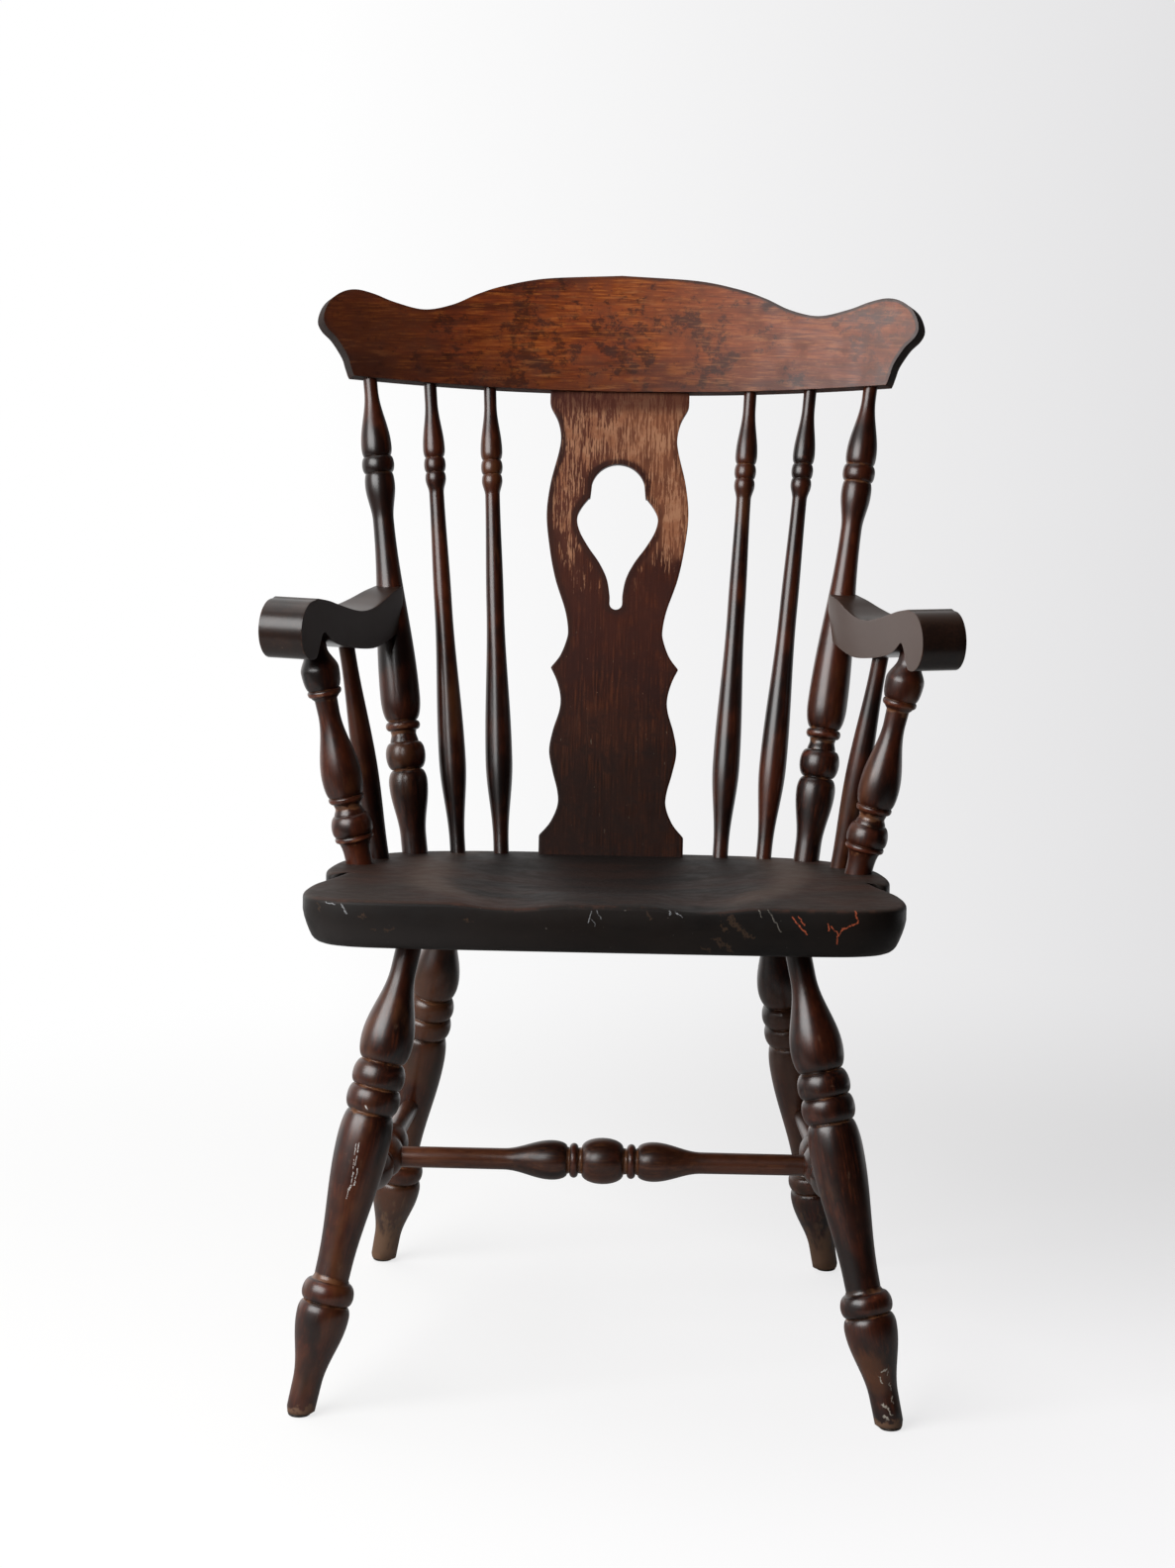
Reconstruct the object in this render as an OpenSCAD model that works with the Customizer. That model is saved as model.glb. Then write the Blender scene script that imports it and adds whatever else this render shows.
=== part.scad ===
// Turned armchair: a saddled plank seat on four splayed legs, with a pierced splat,
// four back spindles and two back posts under a bowed crest rail, and short scrolled arms.
// The origin is on the floor, under the middle of the whole chair. The front faces -Y.

/* [Seat] */
// Height of the seat's front top edge above the floor
seat_height = 450; // [380:5:540]
// Slope of the seat, down towards the back, in degrees
seat_slope = 4.5; // [0:0.5:7]
// Greatest width of the seat
seat_width = 512; // [440:4:640]
// Depth of the seat, from front to back
seat_depth = 448; // [400:4:540]
// Thickness of the seat plank
seat_thickness = 42; // [36:1:54]
// Depth of the hollow for the sitter
dish_depth = 11; // [4:0.5:13]
// Depth of each leg hollow at the front edge
scoop_depth = 4; // [2:0.5:8]

/* [Back] */
// Lean of the back from upright, in degrees
back_lean = 13; // [6:0.5:20]
// Length of the splat between the seat and the crest rail
back_length = 443; // [360:1:540]
// Width of the crest rail
crest_width = 572; // [500:4:680]
// Height of the crest rail at its middle
crest_height = 112; // [90:1:140]
// Thickness of the crest rail
crest_thickness = 21; // [18:1:30]
// Radius of the crest rail's bow
crest_bow = 786; // [600:10:1500]
// Thickness of the splat
splat_thickness = 10; // [7:0.5:13]
// Greatest width of the splat
splat_width = 137; // [110:1:160]
// Gap between the axes of the two back posts at the seat
post_spread = 370; // [320:2:400]
// Gap between the axes of the two back posts at the crest rail
post_spread_top = 474; // [420:2:490]

/* [Arms] */
// Height of the middle of each arm's back end above the floor
arm_height = 647; // [600:1:700]
// Length of each arm, from the back post's axis to its nose
arm_length = 231; // [215:1:270]
// Width of each arm at its nose
arm_width = 42; // [36:1:56]
// Height of the arm's rounded nose
nose_height = 53; // [44:1:60]
// Angle of each arm outwards, in degrees
arm_angle = 19; // [8:0.5:24]

/* [Legs] */
// Distance between the two front feet, centre to centre
front_spread = 504; // [400:2:600]
// Distance between the two rear feet, centre to centre
rear_spread = 435; // [360:2:520]
// Distance between the front and the rear feet, centre to centre
feet_depth = 458; // [400:2:540]
// Distance between the front leg holes in the seat
front_holes = 330; // [290:2:380]
// Distance between the rear leg holes in the seat
rear_holes = 300; // [260:2:330]
// Height of the stretchers' axes above the floor
stretcher_height = 168; // [140:1:200]
// Radius of each leg at the seat
leg_neck_r = 11; // [9:0.5:13]
// Radius of the centre stretcher's ends
stretcher_r = 9.5; // [7:0.5:11]
// Thickness of the glides under the feet
glide_thickness = 3; // [2:0.5:5]

/* [Joints] */
// Gap all round a round tenon in its socket
fit = 0.1; // [0.05:0.05:0.3]
// Gap between the end of a tenon and the bottom of its socket
end_gap = 1; // [0.5:0.5:2]
// Depth of the leg sockets in the seat
leg_socket = 26; // [20:1:30]
// Depth of the post and spindle sockets in the seat
stick_socket = 24; // [18:1:30]
// Depth of the post and spindle sockets in the crest rail
crest_socket = 26; // [18:1:34]
// Depth of the sockets under the arms
arm_socket = 18; // [12:1:22]
// Depth of the stretcher sockets
stretcher_socket = 14; // [10:1:15]

/* [Hidden] */
left = -1;
right = 1;
fine = 48;       // facets round a turned piece
overrun = 60;    // how far a cutter runs past what it cuts

dark_brown = [0.20, 0.11, 0.08];
red_brown = [0.33, 0.17, 0.10];
golden_brown = [0.47, 0.26, 0.13];
black_brown = [0.13, 0.10, 0.09];
iron = [0.18, 0.17, 0.16];

// Plan places: x from the middle, then the distance back from the seat's front edge
front_y = -277.3;                      // the seat's front edge, from the origin
splat_d = seat_depth - 27;
inner_place = [104, seat_depth - 27];
outer_place = [145, seat_depth - 31];
post_place = [post_spread / 2, seat_depth - 42];
arm_spindle_place = [213.5, seat_depth - 99];
arm_post_place = [228, seat_depth - 151];
front_hole_place = [front_holes / 2, 77];
rear_hole_place = [rear_holes / 2, seat_depth - 63];
front_foot_d = 10;
rear_foot_d = front_foot_d + feet_depth;
outer_top_x = 181;
inner_top_x = 124.5;

// Radii where a stick enters the seat, and where it enters the crest rail or the arm
post_foot_r = 12.2;
post_top_r = 6.6;
spindle_foot_r = 7.3;
spindle_top_r = 6;
arm_post_foot_r = 12.3;
arm_post_top_r = 10.5;
arm_spindle_foot_r = 8.6;
arm_spindle_top_r = 7.4;
side_stretcher_r = 8.5;
glide_r = 10;

// ---- small maths -------------------------------------------------------------

function mix(a, b, t) = a + (b - a) * t;
function seat_z(d) = seat_height - d * tan(seat_slope);
function on_seat(place, side) = [side * place[0], front_y + place[1], seat_z(place[1])];
function under_seat(place, side) =
    on_seat(place, side) - [0, 0, seat_thickness / cos(seat_slope)];
function on_floor(x, d, side) = [side * x, front_y + d, 0];

crest_foot = on_seat([0, splat_d], 1) + back_length * [0, sin(back_lean), cos(back_lean)];
function sag(x) = crest_bow - sqrt(crest_bow * crest_bow - x * x);
// A point on the crest rail's middle surface, x across and h up the rail
function on_crest(x, h) = crest_foot + [x,
    h * sin(back_lean) - sag(x) * cos(back_lean),
    h * cos(back_lean) + sag(x) * sin(back_lean)];

// A point on the line from a to b at height z
function at_height(a, b, z) = mix(a, b, (z - a[2]) / (b[2] - a[2]));

// Points of a smooth curve that passes through the points of list p
function spline_point(p, i, t) =
    let (last = len(p) - 1, a = p[max(i - 1, 0)], b = p[i], c = p[i + 1], d = p[min(i + 2, last)])
    0.5 * (2 * b + (c - a) * t + (2 * a - 5 * b + 4 * c - d) * t * t
           + (3 * b - a - 3 * c + d) * t * t * t);
function spline(p, steps = 4) =
    [for (i = [0 : len(p) - 2]) for (k = [0 : steps - 1]) spline_point(p, i, k / steps),
     p[len(p) - 1]];
function reversed(p) = [for (i = [len(p) - 1 : -1 : 0]) p[i]];
function mirrored(p) = [for (q = reversed(p)) [-q[0], q[1]]];

// ---- turning -----------------------------------------------------------------

// A turned outline is a start [s, r] and a list of cuts. s runs along the piece and r is the
// radius there. Each cut is [kind, s, r] and runs from the end of the one before it:
// LINE is straight, EASE leaves and arrives along the piece, RISE starts square and arrives
// along it, FALL leaves along it and ends square, BEAD is a round ring whose crest is a
// fourth value.
LINE = 0;
EASE = 1;
RISE = 2;
FALL = 3;
BEAD = 4;
cut_steps = [1, 8, 5, 5, 8];
function cut_point(cut, a, t) =
    let (s = cut[1], r = cut[2])
    cut[0] == EASE ? [mix(a[0], s, t), mix(a[1], r, (1 - cos(180 * t)) / 2)] :
    cut[0] == RISE ? [mix(a[0], s, 1 - cos(90 * t)), mix(a[1], r, sin(90 * t))] :
    cut[0] == FALL ? [mix(a[0], s, sin(90 * t)), mix(a[1], r, 1 - cos(90 * t))] :
    cut[0] == BEAD ? let (u = (1 - cos(180 * t)) / 2)
        [mix(a[0], s, u), mix(a[1], r, u) + (cut[3] - (a[1] + r) / 2) * sin(180 * t)] :
    [s, r];
function cut_points(cut, a) =
    let (n = cut_steps[cut[0]]) [for (k = [1 : n]) cut_point(cut, a, k / n)];
function turning(start, cuts) = concat([start],
    [for (i = [0 : len(cuts) - 1])
        each cut_points(cuts[i], i == 0 ? start : [cuts[i - 1][1], cuts[i - 1][2]])]);

leg_turning = turning([0, 9.5],
    [[LINE, 6, 12.2], [LINE, 28, 12.5], [EASE, 88, 22.6], [FALL, 98, 18], [BEAD, 117, 16.5, 22.4],
     [LINE, 120, 15], [LINE, 126, 15.1], [EASE, 238, 23], [FALL, 264, 18], [BEAD, 286, 18.4, 23],
     [BEAD, 308, 16.5, 22.6], [RISE, 326, 22.6], [EASE, 388, leg_neck_r], [LINE, 414, leg_neck_r]]);
post_turning = turning([0, post_foot_r],
    [[LINE, 16, post_foot_r], [EASE, 66, 18.4], [FALL, 79, 12.8], [BEAD, 105, 13.4, 18.8],
     [EASE, 113, 11.8], [LINE, 116, 12.4], [BEAD, 125, 12.6, 16.3], [RISE, 148, 18.8],
     [EASE, 316, 9.9], [EASE, 350, 14.2], [FALL, 361, 12.2], [BEAD, 377, 12.2, 15.3],
     [RISE, 386, 14.4], [EASE, 440, post_top_r], [LINE, 448, post_top_r]]);
spindle_turning = turning([0, spindle_foot_r],
    [[LINE, 10, spindle_foot_r], [EASE, 88, 12.8], [EASE, 236, 8.4], [EASE, 341, 7],
     [EASE, 355, 9.8], [FALL, 361, 8], [BEAD, 375, 8, 10.3], [RISE, 383, 10.4],
     [EASE, 428, spindle_top_r], [LINE, 443, spindle_top_r]]);
arm_post_turning = turning([0, arm_post_foot_r],
    [[LINE, 6, arm_post_foot_r], [FALL, 22, 16], [BEAD, 27, 16, 17.8], [BEAD, 46, 14, 18.8],
     [EASE, 53, 11.8], [LINE, 57, 13], [BEAD, 63, 14.6, 16.3], [RISE, 81, 18.6], [EASE, 138, 10],
     [LINE, 151, 10.4], [EASE, 155, 13], [BEAD, 161, 13.6, 15.6], [RISE, 178, 17.6],
     [EASE, 197, arm_post_top_r], [LINE, 206, arm_post_top_r]]);
arm_spindle_turning = turning([0, arm_spindle_foot_r],
    [[EASE, 85, 11.1], [EASE, 190, arm_spindle_top_r], [LINE, 198, arm_spindle_top_r]]);
// Half of a stretcher, from its middle to its end
function stretcher_cuts(half, end_r) =
    [[FALL, 19, 12], [LINE, 22, 11.6], [BEAD, 30, 11.6, 15.8], [LINE, 32, 12.4], [RISE, 46, 18],
     [EASE, 90, mix(end_r, 10, 0.5)], [LINE, half, end_r]];
stretcher_ball_r = 21;
stretcher_half = turning([0, stretcher_ball_r], stretcher_cuts(181, stretcher_r));
side_half = turning([0, stretcher_ball_r], stretcher_cuts(179, side_stretcher_r));

// Places what is drawn along +Z from the origin on the line from a to b
module along(a, b) {
    v = b - a;
    translate(a) rotate([0, acos(v[2] / norm(v)), atan2(v[1], v[0])]) children();
}

seam_turn = 100;   // turns each lathe's first facet away from the stretcher holes
// Turns an outline between a and b, with a tenon of length foot below a and of length top
// past b. gap swells it all round, which makes a cutter for a seat that it fits in.
module turned(a, b, outline, foot, top, gap = 0) {
    last = outline[len(outline) - 1];
    stretch = norm(b - a) / last[0];
    along(a, b) rotate([0, 0, seam_turn]) rotate_extrude($fn = fine) polygon(concat(
        [[0, -foot], [outline[0][1] + gap, -foot]],
        [for (q = outline) [q[1] + gap, q[0] * stretch]],
        [[last[1] + gap, norm(b - a) + top], [0, norm(b - a) + top]]));
}

// A round hole on the line from a to b: from past a, to depth beyond a in the direction of b
module socket(a, b, r, depth, before = 20) {
    v = (b - a) / norm(b - a);
    along(a - v * before, b) cylinder(r = r + fit, h = before + depth, $fn = fine);
}

// ---- axes of the sticks --------------------------------------------------------

function post_foot(side) = on_seat(post_place, side);
function post_top(side) = on_crest(side * post_spread_top / 2, 0);
function outer_foot(side) = on_seat(outer_place, side);
function outer_top(side) = on_crest(side * outer_top_x, 0);
function inner_foot(side) = on_seat(inner_place, side);
function inner_top(side) = on_crest(side * inner_top_x, 0);
function front_foot(side) = on_floor(front_spread / 2, front_foot_d, side);
function front_top(side) = under_seat(front_hole_place, side);
function rear_foot(side) = on_floor(rear_spread / 2, rear_foot_d, side);
function rear_top(side) = under_seat(rear_hole_place, side);

// Arm frame: u runs forward from the back post's axis, v outwards, both level
function arm_root(side) = at_height(post_foot(side), post_top(side), arm_height);
function on_arm(side, u, v, z) =
    let (root = arm_root(side))
    [root[0] + side * (u * sin(arm_angle) + v * cos(arm_angle)),
     root[1] - u * cos(arm_angle) + v * sin(arm_angle),
     arm_height + z];
arm_inner_v = -13.2;
arm_post_u = arm_length - 68;
arm_spindle_u = arm_length - 132;
function arm_post_foot(side) = on_seat(arm_post_place, side);
function arm_post_top(side) = on_arm(side, arm_post_u, 6, arm_under(arm_post_u));
function arm_spindle_foot(side) = on_seat(arm_spindle_place, side);
function arm_spindle_top(side) = on_arm(side, arm_spindle_u, 2, arm_under(arm_spindle_u));

function stretcher_front(side) = at_height(front_foot(side), front_top(side), stretcher_height);
function stretcher_rear(side) = at_height(rear_foot(side), rear_top(side), stretcher_height);
function stretcher_middle(side) = mix(stretcher_front(side), stretcher_rear(side), 0.5);

// ---- seat ----------------------------------------------------------------------

// Half of the seat's outline on its upper face: x, then distance back along the plank
function seat_outline_half() =
    let (w = seat_width / 2, l = seat_depth)
    concat(
        spline([[0, 0], [w - 136, 0.5], [w - 56, 3], [w - 24, 12], [w - 7, 30], [w - 0.5, 58],
                [w, 90], [w - 3, 125], [w - 9, 155], [w - 16, 185], [w - 22, 223]]),
        spline([[w - 21, 225], [w - 15, 218], [w - 8, 219], [w - 4, 230], [w - 2.5, 250],
                [w - 4, l - 163], [w - 9, l - 123], [w - 20, l - 83], [w - 39, l - 50],
                [w - 66, l - 25], [w - 106, l - 10], [w - 156, l - 3], [0, l]]));
function seat_outline() =
    let (half = seat_outline_half(), n = len(half))
    concat(half, [for (i = [n - 2 : -1 : 1]) [-half[i][0], half[i][1]]]);
// The edge's section: how far in, then how far below the upper face
seat_edge = [[1.5, 0], [0, 2.5], [0, 14], [3, 26], [7, 36 / 42 * seat_thickness],
             [11, 40 / 42 * seat_thickness], [17, seat_thickness]];
function seat_ring(outline, edge) = [for (q = outline)
    [q[0] * (1 - edge[0] / (seat_width / 2)),
     mix(q[1], seat_depth / 2, edge[0] / (seat_depth / 2)),
     -edge[1]]];

module seat_blank() {
    outline = seat_outline();
    n = len(outline);
    rings = len(seat_edge);
    points = [for (e = seat_edge) each seat_ring(outline, e)];
    sides = [for (k = [0 : rings - 2]) for (i = [0 : n - 1])
        [k * n + i, k * n + (i + 1) % n, (k + 1) * n + (i + 1) % n, (k + 1) * n + i]];
    upper = [for (i = [n - 1 : -1 : 0]) i];
    under = [for (i = [0 : n - 1]) (rings - 1) * n + i];
    polyhedron(points = points, faces = concat([upper, under], sides), convexity = 4);
}

dish_r = 1000;
dish_d = 245;
scoop_r = 170;
scoop_x = 81;
scoop_end_d = 235;
scoop_fall = 3;        // how much deeper a leg hollow is where it meets the dish
module saddle() {
    translate([0, dish_d, dish_r - dish_depth]) sphere(r = dish_r, $fn = 160);
    for (side = [left, right])
        along([side * scoop_x, -30, scoop_r - scoop_depth],
              [side * scoop_x, scoop_end_d, scoop_r - scoop_depth - scoop_fall])
            cylinder(r = scoop_r, h = scoop_end_d + 30, $fn = 160);
}

module seat_plank() {
    translate([0, front_y, seat_height]) rotate([-seat_slope, 0, 0]) difference() {
        seat_blank();
        saddle();
    }
}

module seat() {
    color(black_brown) difference() {
        seat_plank();
        for (side = [left, right]) {
            socket(post_foot(side), mix(post_foot(side), post_top(side), -1),
                   post_foot_r, stick_socket);
            socket(outer_foot(side), mix(outer_foot(side), outer_top(side), -1),
                   spindle_foot_r, stick_socket);
            socket(inner_foot(side), mix(inner_foot(side), inner_top(side), -1),
                   spindle_foot_r, stick_socket);
            socket(arm_post_foot(side), mix(arm_post_foot(side), arm_post_top(side), -1),
                   arm_post_foot_r, stick_socket);
            socket(arm_spindle_foot(side), mix(arm_spindle_foot(side), arm_spindle_top(side), -1),
                   arm_spindle_foot_r, stick_socket);
            socket(front_top(side), mix(front_foot(side), front_top(side), 2),
                   leg_neck_r, leg_socket);
            socket(rear_top(side), mix(rear_foot(side), rear_top(side), 2),
                   leg_neck_r, leg_socket);
        }
        splat_blank(splat_groove, 0, fit);
    }
}

// ---- back ----------------------------------------------------------------------

splat_groove = 12;       // depth of the splat's grooves in the seat and the crest rail
splat_tongue_w = 66.5;   // half the splat's width at its upper end

// Half of the splat's outline: half width, then height above the seat
function splat_outline_half() =
    let (w = splat_width / 2, k = back_length / 443)
    concat(
        [[w, 0], [w, 17 * k]],
        spline([[w - 1, 18.5 * k], [w - 10.5, 30 * k], [w - 17, 46 * k], [w - 16.5, 60 * k],
                [w - 11.5, 79 * k], [w - 8, 98 * k], [w - 11, 117 * k], [w - 17, 137 * k],
                [w - 17.5, 151 * k], [w - 13.5, 166 * k], [w - 8, 177.5 * k]]),
        spline([[w - 9, 179 * k], [w - 16.5, 189 * k], [w - 22, 203 * k], [w - 23.5, 214 * k],
                [w - 20, 234 * k], [w - 10, 264 * k], [w - 4, 294 * k], [w - 0.8, 325 * k],
                [w - 4, 355 * k], [w - 11.3, 385 * k], [w - 12.8, 400 * k], [w - 9.7, 415 * k],
                [w - 3, 428 * k], [splat_tongue_w, 434 * k]]),
        [[splat_tongue_w, back_length]]);
// Half of the keyhole piercing
function piercing_half() =
    let (k = back_length / 443)
    concat(
        [for (a = [90 : -15 : 15]) [26 * cos(a), 348 * k + 26 * sin(a)]],
        [[26, 345 * k], [26.5, 341 * k]],
        spline([[28, 340.5 * k], [34.5, 332 * k], [38.6, 322 * k], [36, 309 * k],
                [27.5, 294 * k], [16.8, 279 * k], [9.3, 264 * k], [6.3, 249 * k], [6.1, 241 * k]]),
        [for (a = [-15 : -15 : -90]) [6.1 * cos(a), 240 * k + 6.1 * sin(a)]]);

// The splat's board without its piercing, in its place. below and above lengthen its
// tongues, and gap swells it all round.
module splat_blank(below, above, gap = 0) {
    half = splat_outline_half();
    w = splat_width / 2;
    translate(on_seat([0, splat_d], 1)) rotate([90 - back_lean, 0, 0])
        translate([0, 0, -splat_thickness / 2 - gap])
            linear_extrude(splat_thickness + 2 * gap)
                polygon(concat(
                    [[-w - gap, -below - end_gap * sign(gap)], [w + gap, -below - end_gap * sign(gap)]],
                    [for (q = half) q + [gap, 0]],
                    [[splat_tongue_w + gap, back_length + above + end_gap * sign(gap)],
                     [-splat_tongue_w - gap, back_length + above + end_gap * sign(gap)]],
                    [for (q = reversed(half)) [-q[0] - gap, q[1]]]));
}

module splat() {
    color(red_brown) difference() {
        splat_blank(splat_groove, splat_groove);
        translate(on_seat([0, splat_d], 1)) rotate([90 - back_lean, 0, 0])
            translate([0, 0, -splat_thickness])
                linear_extrude(2 * splat_thickness)
                    polygon(concat(piercing_half(), mirrored(piercing_half())));
    }
}

// Half of the crest rail's outline: x, then height above its lower edge
function crest_outline_half() =
    let (w = crest_width / 2, h = crest_height)
    concat(
        spline([[0, 0], [w - 158, 0.7], [w - 29.5, 3.3]], 6),
        spline([[w - 29, 4], [w - 25.5, 14.5], [w - 22.5, 23], [w - 13, 37.5], [w - 3.5, 47],
                [w, 57], [w - 5, 72], [w - 16, 82], [w - 29.5, h - 26.3], [w - 46, h - 29],
                [w - 66, h - 35.5], [w - 94, h - 40.5], [w - 121, h - 34], [w - 145, h - 22.3],
                [w - 171, h - 13], [w - 213, h - 4.3], [0, h]]));

module crest_blank() {
    half = crest_outline_half();
    bow_angle = asin(crest_width / 2 / crest_bow) + 2;
    inner_r = crest_bow - crest_thickness / 2;
    outer_r = crest_bow + crest_thickness / 2;
    translate(crest_foot) rotate([-back_lean, 0, 0]) intersection() {
        translate([0, crest_bow / 2, 0]) rotate([90, 0, 0])
            linear_extrude(crest_bow) polygon(concat(half, mirrored(half)));
        translate([0, -crest_bow, -1]) rotate([0, 0, 90 - bow_angle])
            rotate_extrude(angle = 2 * bow_angle, $fn = 160)
                translate([inner_r, 0]) square([outer_r - inner_r, crest_height + 2]);
    }
}

module crest_rail() {
    color(golden_brown) difference() {
        crest_blank();
        for (side = [left, right]) {
            socket(post_top(side), mix(post_foot(side), post_top(side), 2),
                   post_top_r, crest_socket);
            socket(outer_top(side), mix(outer_foot(side), outer_top(side), 2),
                   spindle_top_r, crest_socket);
            socket(inner_top(side), mix(inner_foot(side), inner_top(side), 2),
                   spindle_top_r, crest_socket);
        }
        splat_blank(0, splat_groove, fit);
    }
}

module back_post(side) {
    color(dark_brown) difference() {
        turned(post_foot(side), post_top(side), post_turning,
               stick_socket - end_gap, crest_socket - end_gap);
        arm_tenon(side, fit, end_gap);
    }
}

module outer_spindle(side) {
    color(dark_brown) turned(outer_foot(side), outer_top(side), spindle_turning,
                             stick_socket - end_gap, crest_socket - end_gap);
}

module inner_spindle(side) {
    color(dark_brown) turned(inner_foot(side), inner_top(side), spindle_turning,
                             stick_socket - end_gap, crest_socket - end_gap);
}

// ---- arms ----------------------------------------------------------------------

// Heights of the arm's under face, from the middle of its back end: u, then z
arm_under_line = [[-6, -17], [12, -22], [44, -28.7], [76, -31], [arm_length - 104, -24.5],
                  [arm_length - 70, -16], [arm_length - 51, -4.7]];
function line_height(line, u, i = 0) =
    i >= len(line) - 2 || u < line[i + 1][0]
        ? mix(line[i][1], line[i + 1][1], (u - line[i][0]) / (line[i + 1][0] - line[i][0]))
        : line_height(line, u, i + 1);
function arm_under(u) = line_height(arm_under_line, u);

// The arm's side outline: the under face forwards, the nose, then the upper face backwards
function arm_side() =
    let (r = nose_height / 2, nose = [arm_length - r, -1])
    concat(
        spline(arm_under_line),
        [[arm_length - 46, -6], [arm_length - 42, -12], [arm_length - 38, -20]],
        [for (a = [-105 : 15 : 90]) nose + r * [cos(a), sin(a)]],
        spline([[arm_length - 35, 26.8], [arm_length - 59, 22.5], [arm_length - 79, 17.5],
                [arm_length - 113, 9.3], [94, 5.8], [69, 6.7], [46, 11.5], [25, 17.5], [5, 20],
                [-6, 20.5]]));
function arm_plan() =
    let (outer = arm_inner_v + arm_width)
    concat([[-6, arm_inner_v], [arm_length, arm_inner_v], [arm_length, outer]],
           spline([[100, outer], [74, outer - 0.6], [45, outer - 7.5], [20, 14.5], [-6, 13.4]]));

module arm_frame(side) {
    root = arm_root(side);
    translate(root) mirror([side < 0 ? 1 : 0, 0, 0]) rotate([0, 0, arm_angle - 90]) children();
}

module arm_blank(side) {
    arm_frame(side) intersection() {
        translate([0, overrun, 0]) rotate([90, 0, 0]) linear_extrude(2 * overrun)
            polygon(arm_side());
        translate([0, 0, -overrun]) linear_extrude(2 * overrun) polygon(arm_plan());
    }
}

arm_shoulder_u = 4;      // how far in front of the back post's axis the arm's shoulder stops
arm_tenon_r = 6;
arm_tenon_reach = 4;     // how far the arm's tenon runs past the back post's axis
module arm_tenon(side, gap = 0, deeper = 0) {
    length = arm_tenon_reach + deeper;
    arm_frame(side) translate([-length, 0, 0]) rotate([0, 90, 0])
        cylinder(r = arm_tenon_r + gap, h = length + 22, $fn = fine);
}

module arm(side) {
    color(black_brown) union() {
        difference() {
            arm_blank(side);
            turned(post_foot(side), post_top(side), post_turning, 0, 0, 3 * fit);
            arm_frame(side) translate([-overrun - arm_shoulder_u, -overrun, -overrun])
                cube([overrun + 2 * arm_shoulder_u, 2 * overrun, 2 * overrun]);
            socket(arm_post_top(side), mix(arm_post_foot(side), arm_post_top(side), 2),
                   arm_post_top_r, arm_socket);
            socket(arm_spindle_top(side), mix(arm_spindle_foot(side), arm_spindle_top(side), 2),
                   arm_spindle_top_r, arm_socket);
        }
        arm_tenon(side);
    }
}

module arm_post(side) {
    color(dark_brown) turned(arm_post_foot(side), arm_post_top(side), arm_post_turning,
                             stick_socket - end_gap, arm_socket - end_gap);
}

module arm_spindle(side) {
    color(dark_brown) turned(arm_spindle_foot(side), arm_spindle_top(side), arm_spindle_turning,
                             stick_socket - end_gap, arm_socket - end_gap);
}

// ---- legs ----------------------------------------------------------------------

// A leg between the floor and the seat, cut level where its glide sits
module leg(foot, top, stretcher_a, stretcher_b) {
    color(dark_brown) difference() {
        turned(foot, top, leg_turning, 0, leg_socket - end_gap);
        translate([foot[0] - overrun, foot[1] - overrun, glide_thickness - overrun])
            cube([2 * overrun, 2 * overrun, overrun]);
        side_stretcher_cutter(stretcher_a, stretcher_b);
    }
}

leg_tenon_start = 4;     // how far from the leg's axis a side stretcher's socket ends
// The hole for a side stretcher that runs from leg axis a towards b
module side_stretcher_cutter(a, b) {
    v = (b - a) / norm(b - a);
    along(a + v * leg_tenon_start, b) cylinder(r = side_stretcher_r + fit, h = 40, $fn = fine);
}

module front_leg(side) {
    leg(front_foot(side), front_top(side), stretcher_front(side), stretcher_rear(side));
}

module rear_leg(side) {
    leg(rear_foot(side), rear_top(side), stretcher_rear(side), stretcher_front(side));
}

module side_stretcher(side) {
    a = stretcher_front(side);
    b = stretcher_rear(side);
    reach = norm(b - a) / 2 - leg_tenon_start - end_gap;
    color(red_brown) difference() {
        for (end = [a, b])
            turned(stretcher_middle(side), mix(stretcher_middle(side), end, 0.9), side_half, 0,
                   reach - 0.9 * norm(b - a) / 2);
        centre_socket(side);
    }
}

centre_from = stretcher_ball_r - stretcher_socket;   // socket's end, from the side stretcher's axis
module centre_socket(side) {
    m = stretcher_middle(side);
    translate([m[0] - side * centre_from, m[1], m[2]]) rotate([0, -side * 90, 0])
        cylinder(r = stretcher_r + fit, h = overrun, $fn = fine);
}

module centre_stretcher() {
    color(red_brown) for (side = [left, right]) {
        m = stretcher_middle(side);
        middle = [0, m[1], m[2]];
        shoulder = [m[0] - side * stretcher_ball_r, m[1], m[2]];
        turned(middle, shoulder, stretcher_half, 0, stretcher_socket - end_gap);
    }
}

module glide(foot) {
    bevel = 1;
    color(iron) translate([foot[0], foot[1], 0]) rotate_extrude($fn = fine)
        polygon([[0, 0], [glide_r - bevel, 0], [glide_r, bevel], [glide_r, glide_thickness],
                 [0, glide_thickness]]);
}

// ---- nodes ---------------------------------------------------------------------

seat();
crest_rail();
splat();
back_post(left);  // back_post_left
back_post(right);  // back_post_right
outer_spindle(left);  // outer_spindle_left
outer_spindle(right);  // outer_spindle_right
inner_spindle(left);  // inner_spindle_left
inner_spindle(right);  // inner_spindle_right
arm(left);  // arm_left
arm(right);  // arm_right
arm_post(left);  // arm_post_left
arm_post(right);  // arm_post_right
arm_spindle(left);  // arm_spindle_left
arm_spindle(right);  // arm_spindle_right
front_leg(left);  // front_leg_left
front_leg(right);  // front_leg_right
rear_leg(left);  // rear_leg_left
rear_leg(right);  // rear_leg_right
side_stretcher(left);  // side_stretcher_left
side_stretcher(right);  // side_stretcher_right
centre_stretcher();
glide(front_foot(left));  // front_glide_left
glide(front_foot(right));  // front_glide_right
glide(rear_foot(left));  // rear_glide_left
glide(rear_foot(right));  // rear_glide_right
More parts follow.
